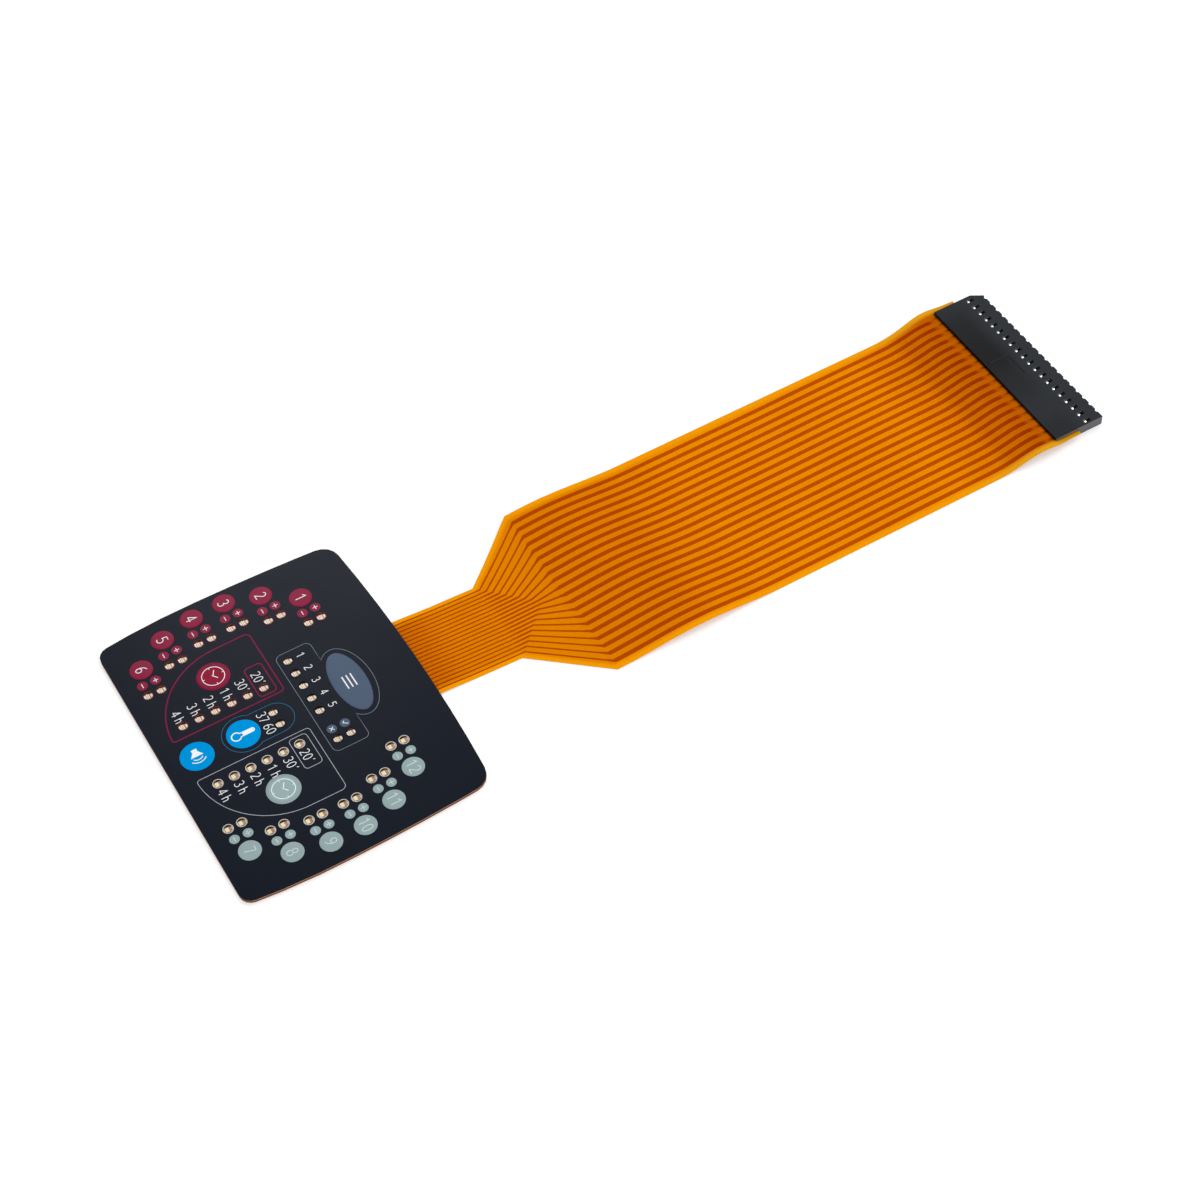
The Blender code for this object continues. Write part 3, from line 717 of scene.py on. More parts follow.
def crimp_group():
    """Painted shade that darkens the film where each contact presses on it, and a painted shadow along the
    housing's edge.
    """
    tree, _, result = new_group("painted_contact_shade", {}, ("Shade",))
    parts = object_parts(tree)
    turn = computed(tree, "MULTIPLY_ADD", parts["X"], 2 * math.pi / (PITCH * MM),
                    math.pi - 2 * math.pi * CONNECTOR_X / PITCH)
    across = mapped(tree, computed(tree, "COSINE", turn), CONTACT_SHADE_START, 1.0, kind="LINEAR")
    along = before_housing(tree, parts["Y"], CONTACT_SHADE_REACH)
    marks = computed(tree, "MULTIPLY_ADD", computed(tree, "MULTIPLY", across, along), -CONTACT_SHADE_DEPTH, 1.0)
    # Painted shadow under the housing's rear edge
    edge = before_housing(tree, parts["Y"], EDGE_REACH, low=1.0, high=EDGE_SHADE)
    feed(tree, result, {"Shade": computed(tree, "MULTIPLY", marks, edge)})
    return tree


def film_shaded(tree, colour):
    """Darken a colour with the painted shade along the tail and the painted shade at the contacts; returns
    the result.
    """
    along = group_node(tree, length_shade_group)["Colour"]
    shaded_along = add_node(tree, "ShaderNodeVectorMath", {0: colour, 1: along}, operation="MULTIPLY")
    return scaled(tree, shaded_along.outputs["Vector"], group_node(tree, crimp_group)["Shade"])


def film_material(settings):
    """Amber film: bright bare edges, deeper colour over the conductors, and painted shade that darkens it
    towards its ends.
    """
    material = finish("amber_film", settings.field, 0.36, tone=0.10, bump=0.05, **FILM_SURFACE)
    tree = material.node_tree
    parts = parts_of(tree, add_node(tree, "ShaderNodeUVMap", uv_map="edge_map").outputs["UV"])
    far = mapped(tree, parts["Y"], *FAR_BORDER)
    bare = mixed(tree, far, settings.edge, settings.far_edge)
    inside = mapped(tree, parts["X"], *BORDER)
    colour_surface(tree, mixed(tree, inside, bare, film_shaded(tree, settings.field)))
    return material


def track_material(settings):
    """The copper seen through the film, fainter where it runs into the connector, and darkened by the
    film's painted shade.
    """
    material = finish("track_under_film", settings.track, 0.38, tone=0.18, **FILM_SURFACE)
    tree = material.node_tree
    fade = before_housing(tree, object_parts(tree)["Y"], TRACK_FADE_START, TRACK_FADE_END, high=TRACK_FADE)
    faint = mixed(tree, fade, settings.track, settings.field)
    colour_surface(tree, film_shaded(tree, faint))
    return material


def housing_shade_group():
    """Painted light and shade along the housing's black, and its painted lighter front, from half values
    doubled.
    """
    tree, _, result = new_group("housing_shade", {}, ("Shade",))
    parts = object_parts(tree)
    share = mapped(tree, parts["X"], HOUSING_LOW[0] * MM, HOUSING_HIGH[0] * MM, kind="LINEAR")
    along = eased_ramp(tree, share, [(position, (shade / 2,) * 3) for position, shade in HOUSING_SHADES])
    front = mapped(tree, parts["Y"], *((HOUSING_FRONT - distance) * MM for distance in FRONT_BLEND))
    blend = mixed(tree, front, along, (FRONT_SHADE / 2,) * 3)
    feed(tree, result, {"Shade": computed(tree, "MULTIPLY", blend, 2.0)})
    return tree


def housing_material():
    """Moulded black plastic with painted light and shade, whose cut end faces that look along X are painted
    paler, as painted light.
    """
    black = linear(*HOUSING_BLACK)
    material = finish("housing_black", black, 0.40, tone=0.40, spread=0.12, grain=5200.0, bump=0.30,
                      specular=0.10)
    tree = material.node_tree
    facing = mapped(tree, object_parts(tree, "Normal")["X"], *END_FACING, kind="LINEAR")
    shaded = scaled(tree, black, group_node(tree, housing_shade_group)["Shade"])
    colour_surface(tree, mixed(tree, facing, shaded, linear(*HOUSING_LIT_END)))
    return material


PLAIN_INKS = ("red", "bright_red", "grey", "pale_grey", "blue", "white", "soft_white", "red_line",
              "blue_line", "grey_line", "dim_line")


def make_materials(context):
    """Make every finish once, from the settings."""
    prints = context.scene.keypad_print
    lamps = context.scene.keypad_lamps
    film = context.scene.keypad_film
    for name in PLAIN_INKS:
        MATERIALS[name] = finish(f"print_{name}", getattr(prints, name), 0.42, tone=0.08, bump=0.15,
                                 grain=9000.0, depth=0.01, specular=0.0 if name == "blue" else 0.03)
    MATERIALS.update({
        "overlay": finish("overlay_black", prints.black, 0.40, tone=0.25, spread=0.10, grain=9000.0,
                          bump=0.22, depth=0.01, specular=0.03),
        "slate": finish("print_slate", prints.slate, 0.40, tone=0.30, bump=0.25, grain=7000.0, depth=0.01,
                        specular=0.03),
        "lamp_body": finish("lamp_body", lamps.body, 0.40, tone=0.25, grain=6000.0),
        "striped_lens": finish("lamp_lens_striped", lamps.lens, 0.35, tone=0.20, specular=0.2),
        "square_lens": finish("lamp_lens_square", lamps.square_lens, 0.35, tone=0.20, specular=0.2),
        "lamp_terminal": finish("lamp_terminal", lamps.terminal, 0.35, tone=0.20, specular=0.2),
        "red_ring": finish("ring_red", lamps.red_ring, 0.45, tone=0.3, specular=0.05),
        "pale_ring": finish("ring_pale", lamps.pale_ring, 0.35, tone=0.3, specular=0.1),
        "film": film_material(film),
        # The film inside the panel: the amber film painted dark brown, as painted shade where it shows in
        # the lamp windows
        "shaded_inner_film": finish("shaded_inner_film", linear(112, 64, 42), 0.45, tone=0.4, specular=0.1),
        "track": track_material(film),
        "housing": housing_material(),
        # Real tin of the contacts, painted near white with a diffuse share as a painted highlight in the
        # windows
        "tin_with_painted_glint": finish("tin_with_painted_glint", linear(254, 254, 252), 0.20, tone=0.02, metallic=0.6),
        "contact": finish("contact_tin", linear(200, 190, 172), 0.32, tone=0.2, metallic=1.0),
        "steel": finish("dome_steel", linear(205, 205, 203), 0.25, tone=0.1, metallic=1.0),
        "spacer": finish("spacer_film", linear(186, 140, 106), 0.5, tone=0.15),
        "adhesive": finish("adhesive", linear(170, 122, 88), 0.45, tone=0.2),
        "liner": finish("liner_paper", linear(160, 112, 80), 0.75, tone=0.25, grain=2200.0, bump=0.35),
    })


class KEYPAD_OT_cad_finishes(bpy.types.Operator):
    """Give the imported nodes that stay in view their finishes"""
    bl_idname = "keypad.cad_finishes"
    bl_label = "Finishes of the packed nodes"

    def execute(self, context):
        make_materials(context)
        finishes = {
            "graphic_overlay": "overlay",
            "dome_spacer": "spacer",
            "rear_adhesive": "adhesive",
            "release_liner": "liner",
            "connector_housing": "housing",
        }
        for name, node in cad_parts.items():
            key = finishes.get(name, "steel" if name.startswith("snap_dome") else "contact")
            if name == "flex_circuit":
                key = "film"
            node.data.materials.clear()
            node.data.materials.append(MATERIALS[key])
        return {"FINISHED"}


# Levels and slopes of the embossed keys, in millimetres
KEY_SIDES = 64
KEY_ROOT = 0.02
KEY_EDGE = SURFACE + KEY_EMBOSS * 0.5
KEY_RIM = 0.22
KEY_LIFT = 0.06
KEY_ROUND = 0.03
KEY_TOP = KEY_EDGE + KEY_LIFT
CLOCK_RIM = 0.28
CLOCK_LIFT = 0.08
CLOCK_SLOPE = 0.48
CLOCK_DOME = 0.03
CLOCK_ROUND = 0.02
CLOCK_TOP = KEY_EDGE + CLOCK_LIFT + CLOCK_DOME
FIELD_SINK = 0.01
FIELD_RISE = 0.008
LOW_FIELD_TOP = 0.02


def key_face(place, radius, rim=KEY_RIM, lift=KEY_LIFT):
    """Model one embossed key face: a low rim and a raised, rounded field."""
    face = add_cylinder(radius, SURFACE - KEY_ROOT, KEY_EDGE, KEY_SIDES)
    raise_top(face, rim, lift, KEY_ROUND)
    shade_by_angle(face, degrees=40)
    bake_place(face)
    move_mesh(face, *place)
    return face


class KEYPAD_OT_key_faces(bpy.types.Operator):
    """Model the embossed coloured key faces"""
    bl_idname = "keypad.key_faces"
    bl_label = "Key faces"

    def execute(self, context):
        settings = context.scene.keypad_print
        sides = (("red", "bright_red", settings.number_radius, LEFT_NUMBERS, LEFT_CLOCK),
                 ("grey", "pale_grey", settings.grey_radius, RIGHT_NUMBERS, RIGHT_CLOCK))
        for colour, clock_colour, radius, numbers, clock in sides:
            faces = [key_face(key_place(number), radius) for number in numbers]
            finish_piece(join_pieces(faces), f"number_keys_{colour}", colour)
            face = key_face((0.0, 0.0), settings.clock_radius, CLOCK_RIM, CLOCK_LIFT)
            raise_top(face, CLOCK_SLOPE, CLOCK_DOME, CLOCK_ROUND)
            shade_by_angle(face)
            move_mesh(face, *key_place(clock))
            finish_piece(face, f"clock_key_{colour}", colour)
            field = add_cylinder(settings.clock_field, CLOCK_TOP - FIELD_SINK, CLOCK_TOP + FIELD_RISE,
                                 KEY_SIDES, key_place(clock))
            finish_piece(field, f"clock_field_{colour}", clock_colour)
        places = (key_place(TEMPERATURE_KEY), key_place(SOUND_KEY))
        blue = [key_face(place, settings.round_radius) for place in places]
        finish_piece(join_pieces(blue), "round_keys_blue", "blue")
        oval = key_face((0.0, 0.0), settings.mode_half_width)
        stretch = settings.mode_half_length / settings.mode_half_width
        oval.data.transform(Matrix.Diagonal((stretch, 1.0, 1.0, 1.0)))
        move_mesh(oval, *key_place(MODE_KEY))
        finish_piece(oval, "mode_key", "slate")
        return {"FINISHED"}


# Strokes of the small marks about their centres, in millimetres
MARK_ARM = 0.62
MARK_WIDTH = 0.20
MINUS = (((-MARK_ARM, 0.0), (MARK_ARM, 0.0)),)
PLUS = (*MINUS, ((0.0, -MARK_ARM), (0.0, MARK_ARM)))
CROSS_ARM = MARK_ARM * 0.75
CROSS = [((-CROSS_ARM, -side * CROSS_ARM), (CROSS_ARM, side * CROSS_ARM)) for side in (1, -1)]
TICK = (((-0.58, 0.02), (-0.18, -0.46)), ((-0.20, -0.48), (0.55, 0.62)))


def print_marks(name, places, radius, colour, mark_colour, marks):
    """Print a small disc at each place, and the lower and the upper mark on them by turns."""
    disc = add_cylinder(radius, SURFACE - LOW_FIELD_TOP, SURFACE + LOW_FIELD_TOP, sides=40)
    bake_place(disc)
    finish_piece(copy_to(disc, places), f"mark_fields_{colour}", colour)
    bars = []
    for index, place in enumerate(places):
        bars += moved(place, marks[index % 2])
    finish_piece(stroke(bars, MARK_WIDTH, SURFACE + LOW_FIELD_TOP, cyclic=False), name, mark_colour)


class KEYPAD_OT_small_fields(bpy.types.Operator):
    """Print the small plus, minus, cross and tick fields"""
    bl_idname = "keypad.small_fields"
    bl_label = "Plus and minus fields"

    def execute(self, context):
        settings = context.scene.keypad_print
        red = beside_keys(LEFT_NUMBERS, MARK_FROM_KEY)
        grey = beside_keys(RIGHT_NUMBERS, MARK_FROM_KEY)
        slate = in_layout([(CONFIRM_MARK_X, CONFIRM_Y + side * PAIR_HALF_SPACING) for side in (-1, 1)])
        small = settings.grey_mark_radius
        print_marks("plus_minus_marks_red", red, settings.mark_radius, "red", "white", (MINUS, PLUS))
        print_marks("plus_minus_marks_grey", grey, small, "grey", "soft_white", (MINUS, PLUS))
        print_marks("cross_and_tick", slate, small, "slate", "white", (CROSS, TICK))
        return {"FINISHED"}


def timer_outline(side):
    """The outline round a timer group: straight inside and at the head, and an arc outside."""
    reach = 19.15
    inner = 6.15
    centre_y = 4.65
    head = 13.3
    outer = inner + reach
    bow = arc((inner, centre_y), reach, -86.5, 0, 30)
    corners = rounded([(*bow[-1], 0), (outer + 0.1, head, 1.3), (inner, head, 0.9),
                       (inner, centre_y - reach, 0.7), (*bow[0], 0)])
    return [(side * x, y) for x, y in bow[1:-1] + corners]


def first_timer_box(side):
    """The box round the shortest time of a timer group."""
    inner = 7.1
    outer = 16.2
    foot = 7.65
    head = 12.0
    corner = 0.9
    return rounded_box(side * inner, side * outer, foot, head, corner, corner)


def temperature_outline():
    """The keyhole outline round the temperature key and its lamps."""
    neck = 4.25
    round_part = 5.05
    joint = math.degrees(math.acos(neck / round_part))
    return arc((0.0, 0.1), round_part, 180 - joint, 360 + joint, 40) + arc((0.0, 8.1), neck, 0, 180, 24)


def programme_outline():
    """The outline round the programme lamps, which runs on round the oval mode key."""
    side = 15.6
    foot = 15.25
    head = 24.1
    mode_x, mode_y = (a - b for a, b in zip(key_place(MODE_KEY), (LAYOUT_X, LAYOUT_Y)))
    half_length = 10.4
    half_width = 5.45
    joint = math.degrees(math.asin((head - mode_y) / half_width))
    reach = half_length * math.cos(math.radians(joint))
    box = rounded([(mode_x + reach, head, 0), (side, head, 1.3), (side, foot, 1.5), (-side, foot, 1.5),
                   (-side, head, 1.4), (mode_x - reach, head, 0)])
    return box + arc((mode_x, mode_y), half_length, 180 - joint, joint, 48, half_width)[1:-1]


class KEYPAD_OT_outlines(bpy.types.Operator):
    """Print the outlines round the groups of keys"""
    bl_idname = "keypad.outlines"
    bl_label = "Printed outlines"

    def execute(self, context):
        settings = context.scene.keypad_print
        outlines = (
            ("outline_red", [timer_outline(-1), first_timer_box(-1)], "red_line"),
            ("outline_grey", [timer_outline(1), first_timer_box(1)], "grey_line"),
            ("outline_blue", [temperature_outline()], "blue_line"),
            ("outline_programmes", [programme_outline()], "dim_line"),
        )
        for name, paths, colour in outlines:
            width = settings.red_line_width if colour == "red_line" else settings.line_width
            finish_piece(stroke([in_layout(path) for path in paths], width), name, colour)
        return {"FINISHED"}


NUMBER_HEIGHT = 2.9
LABEL_HEIGHT = 2.45
SMALL_LABEL_HEIGHT = 2.1
LAST_NUMBER = 12
TIMER_LABEL_PLACES = ((-1, "RIGHT", 1.45), (1, "LEFT", 1.90))
TEMPERATURE_LABEL_DROP = 2.6
PROGRAMME_LABEL_RISE = 3.2


class KEYPAD_OT_figures(bpy.types.Operator):
    """Print the figures of the keys and lamps"""
    bl_idname = "keypad.figures"
    bl_label = "Printed figures"

    def execute(self, context):
        bright = []
        for figure, number in enumerate(LEFT_NUMBERS, start=1):
            bright += figure_paths(str(figure), key_place(number), NUMBER_HEIGHT)
        soft = []
        for figure, number in enumerate(RIGHT_NUMBERS):
            soft += figure_paths(str(LAST_NUMBER - figure), key_place(number), NUMBER_HEIGHT)
        width = NUMBER_HEIGHT * FIGURE_WEIGHT
        finish_piece(stroke(soft, width, KEY_TOP, cyclic=False), "printed_figures_grey", "soft_white")
        words = [stroke(bright, width, KEY_TOP, cyclic=False)]
        labels = []
        for side, align, from_lamp in TIMER_LABEL_PLACES:
            for label, (x, y) in zip(TIMER_LABELS, timer_lamps(side)):
                labels += figure_paths(label, (x + side * from_lamp, y), LABEL_HEIGHT, align)
        for label, (x, y) in zip(("37", "60"), centre_lamps()):
            labels += figure_paths(label, (x, y - TEMPERATURE_LABEL_DROP), LABEL_HEIGHT)
        for label, (x, y) in zip("12345", centre_lamps()[2:]):
            labels += figure_paths(label, (x, y + PROGRAMME_LABEL_RISE), SMALL_LABEL_HEIGHT)
        words.append(stroke(labels, LABEL_HEIGHT * FIGURE_WEIGHT, cyclic=False))
        finish_piece(join_pieces(words), "printed_figures", "white")
        return {"FINISHED"}


# Strokes of the icons about their keys' centres, in millimetres
CLOCK_RING = 2.64
CLOCK_TICK = 0.55
CLOCK_WEIGHTS = (0.30, 0.20, 0.32)
CLOCK_HANDS = (((-1.5, 0.82), (0.1, -0.1)), ((-0.3, -0.2), (1.0, 0.78)))
BULB_RADIUS = 1.12
BULB_JOINT = 26
BULB_WEIGHT = 0.34
BULB_DROP = 1.72
STEM_HALF = 0.46
STEM_RISE = 2.2
STEM_FOOT = 0.2
STEM_HEAD = 2.4
WAVE_WEIGHT = 0.26
WAVE_BACK = 0.4
WAVE_SPREAD = 48
WAVE_RADII = (1.5, 2.3)
BAR_WEIGHT = 0.36
SPEAKER = ((-2.0, -0.65), (-1.1, -0.65), (0.1, -1.55), (0.1, 1.55), (-1.1, 0.65), (-2.0, 0.65))
MENU_BARS = [((-1.9, row * 1.05), (1.9, row * 1.05)) for row in (-1, 0, 1)]


def clock_icon(place):
    """Print a clock face: its ring, four ticks and two hands."""
    ring_weight, tick_weight, hand_weight = CLOCK_WEIGHTS
    ticks = []
    for quarter in range(4):
        angle = math.radians(90 * quarter)
        ends = (CLOCK_RING, CLOCK_RING - CLOCK_TICK)
        ticks.append([(math.cos(angle) * reach, math.sin(angle) * reach) for reach in ends])
    return [stroke([circle(place, CLOCK_RING, 48)], ring_weight, CLOCK_TOP),
            stroke(moved(place, ticks), tick_weight, CLOCK_TOP, cyclic=False),
            stroke(moved(place, CLOCK_HANDS), hand_weight, CLOCK_TOP, cyclic=False)]


class KEYPAD_OT_icons(bpy.types.Operator):
    """Print the clock, sound, temperature and menu icons"""
    bl_idname = "keypad.icons"
    bl_label = "Printed icons"

    def execute(self, context):
        parts = clock_icon(key_place(LEFT_CLOCK)) + clock_icon(key_place(RIGHT_CLOCK))
        x, y = key_place(TEMPERATURE_KEY)
        bulb = arc((x, y - BULB_DROP), BULB_RADIUS, 90 + BULB_JOINT, 450 - BULB_JOINT, 28)
        stem = arc((x, y + STEM_RISE), STEM_HALF, 0, 180, 10)
        parts.append(stroke([bulb + stem], BULB_WEIGHT, KEY_TOP))
        filling = rounded_box(x - STEM_HALF, x + STEM_HALF, y - STEM_FOOT, y + STEM_HEAD, 0.1, 0.3)
        parts.append(plate(filling, KEY_TOP))

        x, y = key_place(SOUND_KEY)
        parts.append(plate(moved((x, y), [SPEAKER])[0], KEY_TOP))
        waves = [arc((x - WAVE_BACK, y), reach, -WAVE_SPREAD, WAVE_SPREAD, 12) for reach in WAVE_RADII]
        parts.append(stroke(waves, WAVE_WEIGHT, KEY_TOP, cyclic=False))
        parts.append(stroke(moved(key_place(MODE_KEY), MENU_BARS), BAR_WEIGHT, KEY_TOP, cyclic=False))
        finish_piece(join_pieces(parts), "printed_icons", "white")
        return {"FINISHED"}


# Blocks of a lamp as (left, right, low, high), in shares of its half width and half length:
# first those of resin, then the terminals
STRIPED_LAMP = (((-0.95, 1.0, -0.46, -0.15), (-0.80, 1.0, -0.08, 0.19)),
                ((-0.80, 0.85, -1.0, -0.55), (-0.55, 0.80, 0.50, 1.0)))
SQUARE_LAMP = (((-0.74, 0.90, -0.70, 0.14),),
               ((-0.85, 0.85, -1.0, -0.84), (-0.50, 0.90, 0.74, 1.0)))
LAMP_BASE_SHARE = 0.6
LAMP_SINK = 0.02
LAMP_ROUND = 0.04
CHIP_ROUND = 0.07
WINDOW_RING_HEIGHT = 0.03


class KEYPAD_OT_lamps(bpy.types.Operator):
    """Model the indicator lamps on the film and the printed rings round their windows"""
    bl_idname = "keypad.lamps"
    bl_label = "Indicator lamps"

    def execute(self, context):
        settings = context.scene.keypad_lamps
        red_pairs = beside_keys(LEFT_NUMBERS, PAIR_FROM_KEY)
        grey_pairs = beside_keys(RIGHT_NUMBERS, PAIR_FROM_KEY)
        places = red_pairs + grey_pairs + timer_lamps(-1) + timer_lamps(1) + centre_lamps()
        half_width = settings.width / 2
        half_length = settings.length / 2
        base_top = FILM_TOP + settings.height * LAMP_BASE_SHARE
        base = add_block((-half_width, -half_length, FILM_TOP), (half_width, half_length, base_top))
        bevel_edges(base, LAMP_ROUND, segments=2)
        finish_piece(copy_to(base, places), "lamp_bodies", "lamp_body")

        grey_side = grey_pairs + timer_lamps(1)
        striped = [place for place in places if place not in grey_side]
        low_level = base_top - LAMP_SINK
        top_level = FILM_TOP + settings.height
        chips = (("lenses", "striped", "striped_lens", striped, STRIPED_LAMP[0]),
                 ("terminals", "striped", "lamp_terminal", striped, STRIPED_LAMP[1]),
                 ("lenses", "square", "square_lens", grey_side, SQUARE_LAMP[0]),
                 ("terminals", "square", "lamp_terminal", grey_side, SQUARE_LAMP[1]))
        for part, kind, material, spots, blocks in chips:
            chip = join_pieces([add_block((left * half_width, low * half_length, low_level),
                                          (right * half_width, high * half_length, top_level))
                                for left, right, low, high in blocks])
            bevel_edges(chip, CHIP_ROUND)
            finish_piece(copy_to(chip, spots), f"lamp_{part}_{kind}", material)

        radius = (settings.ring_inner + settings.ring_outer) / 2
        ring_width = settings.ring_outer - settings.ring_inner
        groups = (("red", "red_ring", red_pairs + timer_lamps(-1)), ("pale", "pale_ring", grey_side),
                  ("dark", "overlay", centre_lamps()))
        for colour, material, centres in groups:
            rings = stroke([circle(centre, radius, 32) for centre in centres], ring_width,
                           height=WINDOW_RING_HEIGHT)
            finish_piece(rings, f"window_rings_{colour}", material)
        return {"FINISHED"}


def smooth_step(value):
    """Ease from 0 to 1."""
    value = min(max(value, 0.0), 1.0)
    return value * value * (3 - 2 * value)


def swell(value):
    """A smooth rise and fall, which is 1 at 0 and 0 from a half on."""
    return math.cos(math.pi * value) ** 2 if abs(value) < 0.5 else 0.0


# Lie of the film along the tail, in millimetres
DROP_START = 1.0
DROP_LENGTH = 9.0
RISE_LENGTH = 18.0
LEVEL_BEFORE_HOUSING = 1.4
CREST_BEFORE_HOUSING = 6.0
CREST_LENGTH = 20.0
CREST_HEIGHT = 0.95
WAVE_HEIGHT = 1.5
WAVE_LENGTH = 46.0
WAVE_MIDDLE_Y = 83.6
WAVE_SLANT = 0.26
FILM_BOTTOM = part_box("rear_adhesive")[1].z / MM + BOND_GAP
FILM_IN_SLOT = 1.445

# Outline of the film and run of its conductors, in millimetres
STATION_STEP = 1.2
TAIL_COLUMNS = 44
EDGE_MAP_REACH = 10.0
LEFT_FLARE = 1.15
FLARE_LENGTH = 11.5
FLARE_LOSS = 0.055
RIGHT_TAPER = 0.35
TAPER_LENGTH = 4.0
TRACK_SPREAD = 0.985
TRACK_LEAN = 0.42
LEAN_LOSS = 0.22
DIP_START = 130.0
DIP_LENGTH = 30.0
DIP_END = 174.0
DIP_RETURN = 10.0
BEND_AFTER_FAN = 1.3
BEND_STAGGER = 1.1
BEND_OVERRUN = 0.6
FAN_EASE = 3.0
WIDE_EASE = 2.2
TRACK_SINK = 0.01
TRACK_HEIGHT = 0.025
PANEL_FILM_SINK = 0.01


def film_level(x, y):
    """Height of the film's underside at a place on the tail."""
    drop = smooth_step((y - PANEL_HEAD - DROP_START) / DROP_LENGTH)
    rise = smooth_step((y - (HOUSING_REAR - LEVEL_BEFORE_HOUSING)) / RISE_LENGTH + 1)
    bulge = swell((y - (HOUSING_REAR - CREST_BEFORE_HOUSING)) / CREST_LENGTH)
    wave = swell((y - WAVE_MIDDLE_Y - WAVE_SLANT * x) / WAVE_LENGTH)
    return FILM_BOTTOM * (1 - drop) + WAVE_HEIGHT * wave + FILM_IN_SLOT * rise + CREST_HEIGHT * bulge


def fan_share(settings, y, start=0.0, overrun=0.0):
    """How far a place along the tail lies into the fan-out, from 0 to 1."""
    first = settings.fan_start + start
    return min(max((y - first) / (settings.fan_end + overrun - first), 0.0), 1.0)


def tail_middle(settings, y):
    """Place across the panel of the tail's middle, at a place along it."""
    to_fan = min((y - PANEL_HEAD) / (settings.fan_start - PANEL_HEAD), 1.0)
    narrow = settings.head_x + (settings.fan_x - settings.head_x) * to_fan
    return narrow + (CONNECTOR_X + settings.offset - narrow) * fan_share(settings, y)


def tail_edges(settings, y):
    """Left and right edge of the tail at a place along it."""
    widening = (settings.wide_width - settings.narrow_width) * fan_share(settings, y)
    half = (settings.narrow_width + widening) / 2
    middle_x = tail_middle(settings, y)
    flare = LEFT_FLARE * smooth_step((y - HOUSING_REAR) / FLARE_LENGTH + 1)
    flare -= FLARE_LOSS * max(y - HOUSING_REAR, 0.0)
    taper = RIGHT_TAPER * smooth_step((y - HOUSING_REAR) / TAPER_LENGTH)
    return middle_x - half - flare, middle_x + half - taper


def tail_stations(settings):
    """Places along the tail, with one at each corner of its outline."""
    marks = [TAIL_START, settings.fan_start, settings.fan_end, TAIL_END]
    stations = []
    for first, last in zip(marks, marks[1:]):
        count = max(2, round((last - first) / STATION_STEP))
        stations += [first + (last - first) * index / count for index in range(count)]
    return stations + [TAIL_END]


def track_bend(from_middle):
    """How far behind the start of the fan-out a conductor bends: the outer ones first."""
    return BEND_AFTER_FAN + (CONTACT_STEPS[-1] - abs(from_middle)) * BEND_STAGGER


def track_place(settings, from_middle, y):
    """Centre and half width of one conductor at a place along the tail."""
    narrow = tail_middle(settings, min(y, settings.fan_start)) + from_middle * settings.track_pitch
    dip = smooth_step((y - DIP_START) / DIP_LENGTH) - smooth_step((y - DIP_END) / DIP_RETURN)
    wide = CONNECTOR_X + from_middle * PITCH * TRACK_SPREAD + (TRACK_LEAN - LEAN_LOSS * dip)
    broad = smooth_step((y - settings.fan_end) / WIDE_EASE + 0.5)
    fanned = smooth_step((y - settings.fan_start) / FAN_EASE)
    width = settings.track_narrow + (settings.track_fan - settings.track_narrow) * fanned
    half = (width + (settings.track_wide - width) * broad) / 2
    return narrow + (wide - narrow) * fan_share(settings, y, track_bend(from_middle), BEND_OVERRUN), half


def ribbon_mesh(rows, thickness):
    """Make a closed ribbon from rows of (left, right, y, level), all in millimetres."""
    shape = bmesh.new()
    sections = []
    for left, right, y, level in rows:
        low = level * MM
        high = (level + thickness) * MM
        sections.append([shape.verts.new((x * MM, y * MM, z)) for x, z in
                         ((left, low), (right, low), (right, high), (left, high))])
    for first, last in zip(sections, sections[1:]):
        for corner in range(4):
            following = (corner + 1) % 4
            shape.faces.new((first[corner], first[following], last[following], last[corner]))
    shape.faces.new(sections[0])
    shape.faces.new(sections[-1])
    return mesh_object("track", shape)


def copy_node(name, merge, flat=None):
    """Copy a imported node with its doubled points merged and, given an angle, its flat faces joined."""
    piece = copy_object(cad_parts[name])
    piece.parent = None
    for key in list(piece.keys()):
        del piece[key]
    select_only(piece)
    set_mode("EDIT")
    bpy.ops.mesh.select_all(action="SELECT")
    bpy.ops.mesh.remove_doubles(threshold=merge * MM)
    if flat:
        bpy.ops.mesh.dissolve_limited(angle_limit=math.radians(flat))
    set_mode("OBJECT")
    return piece


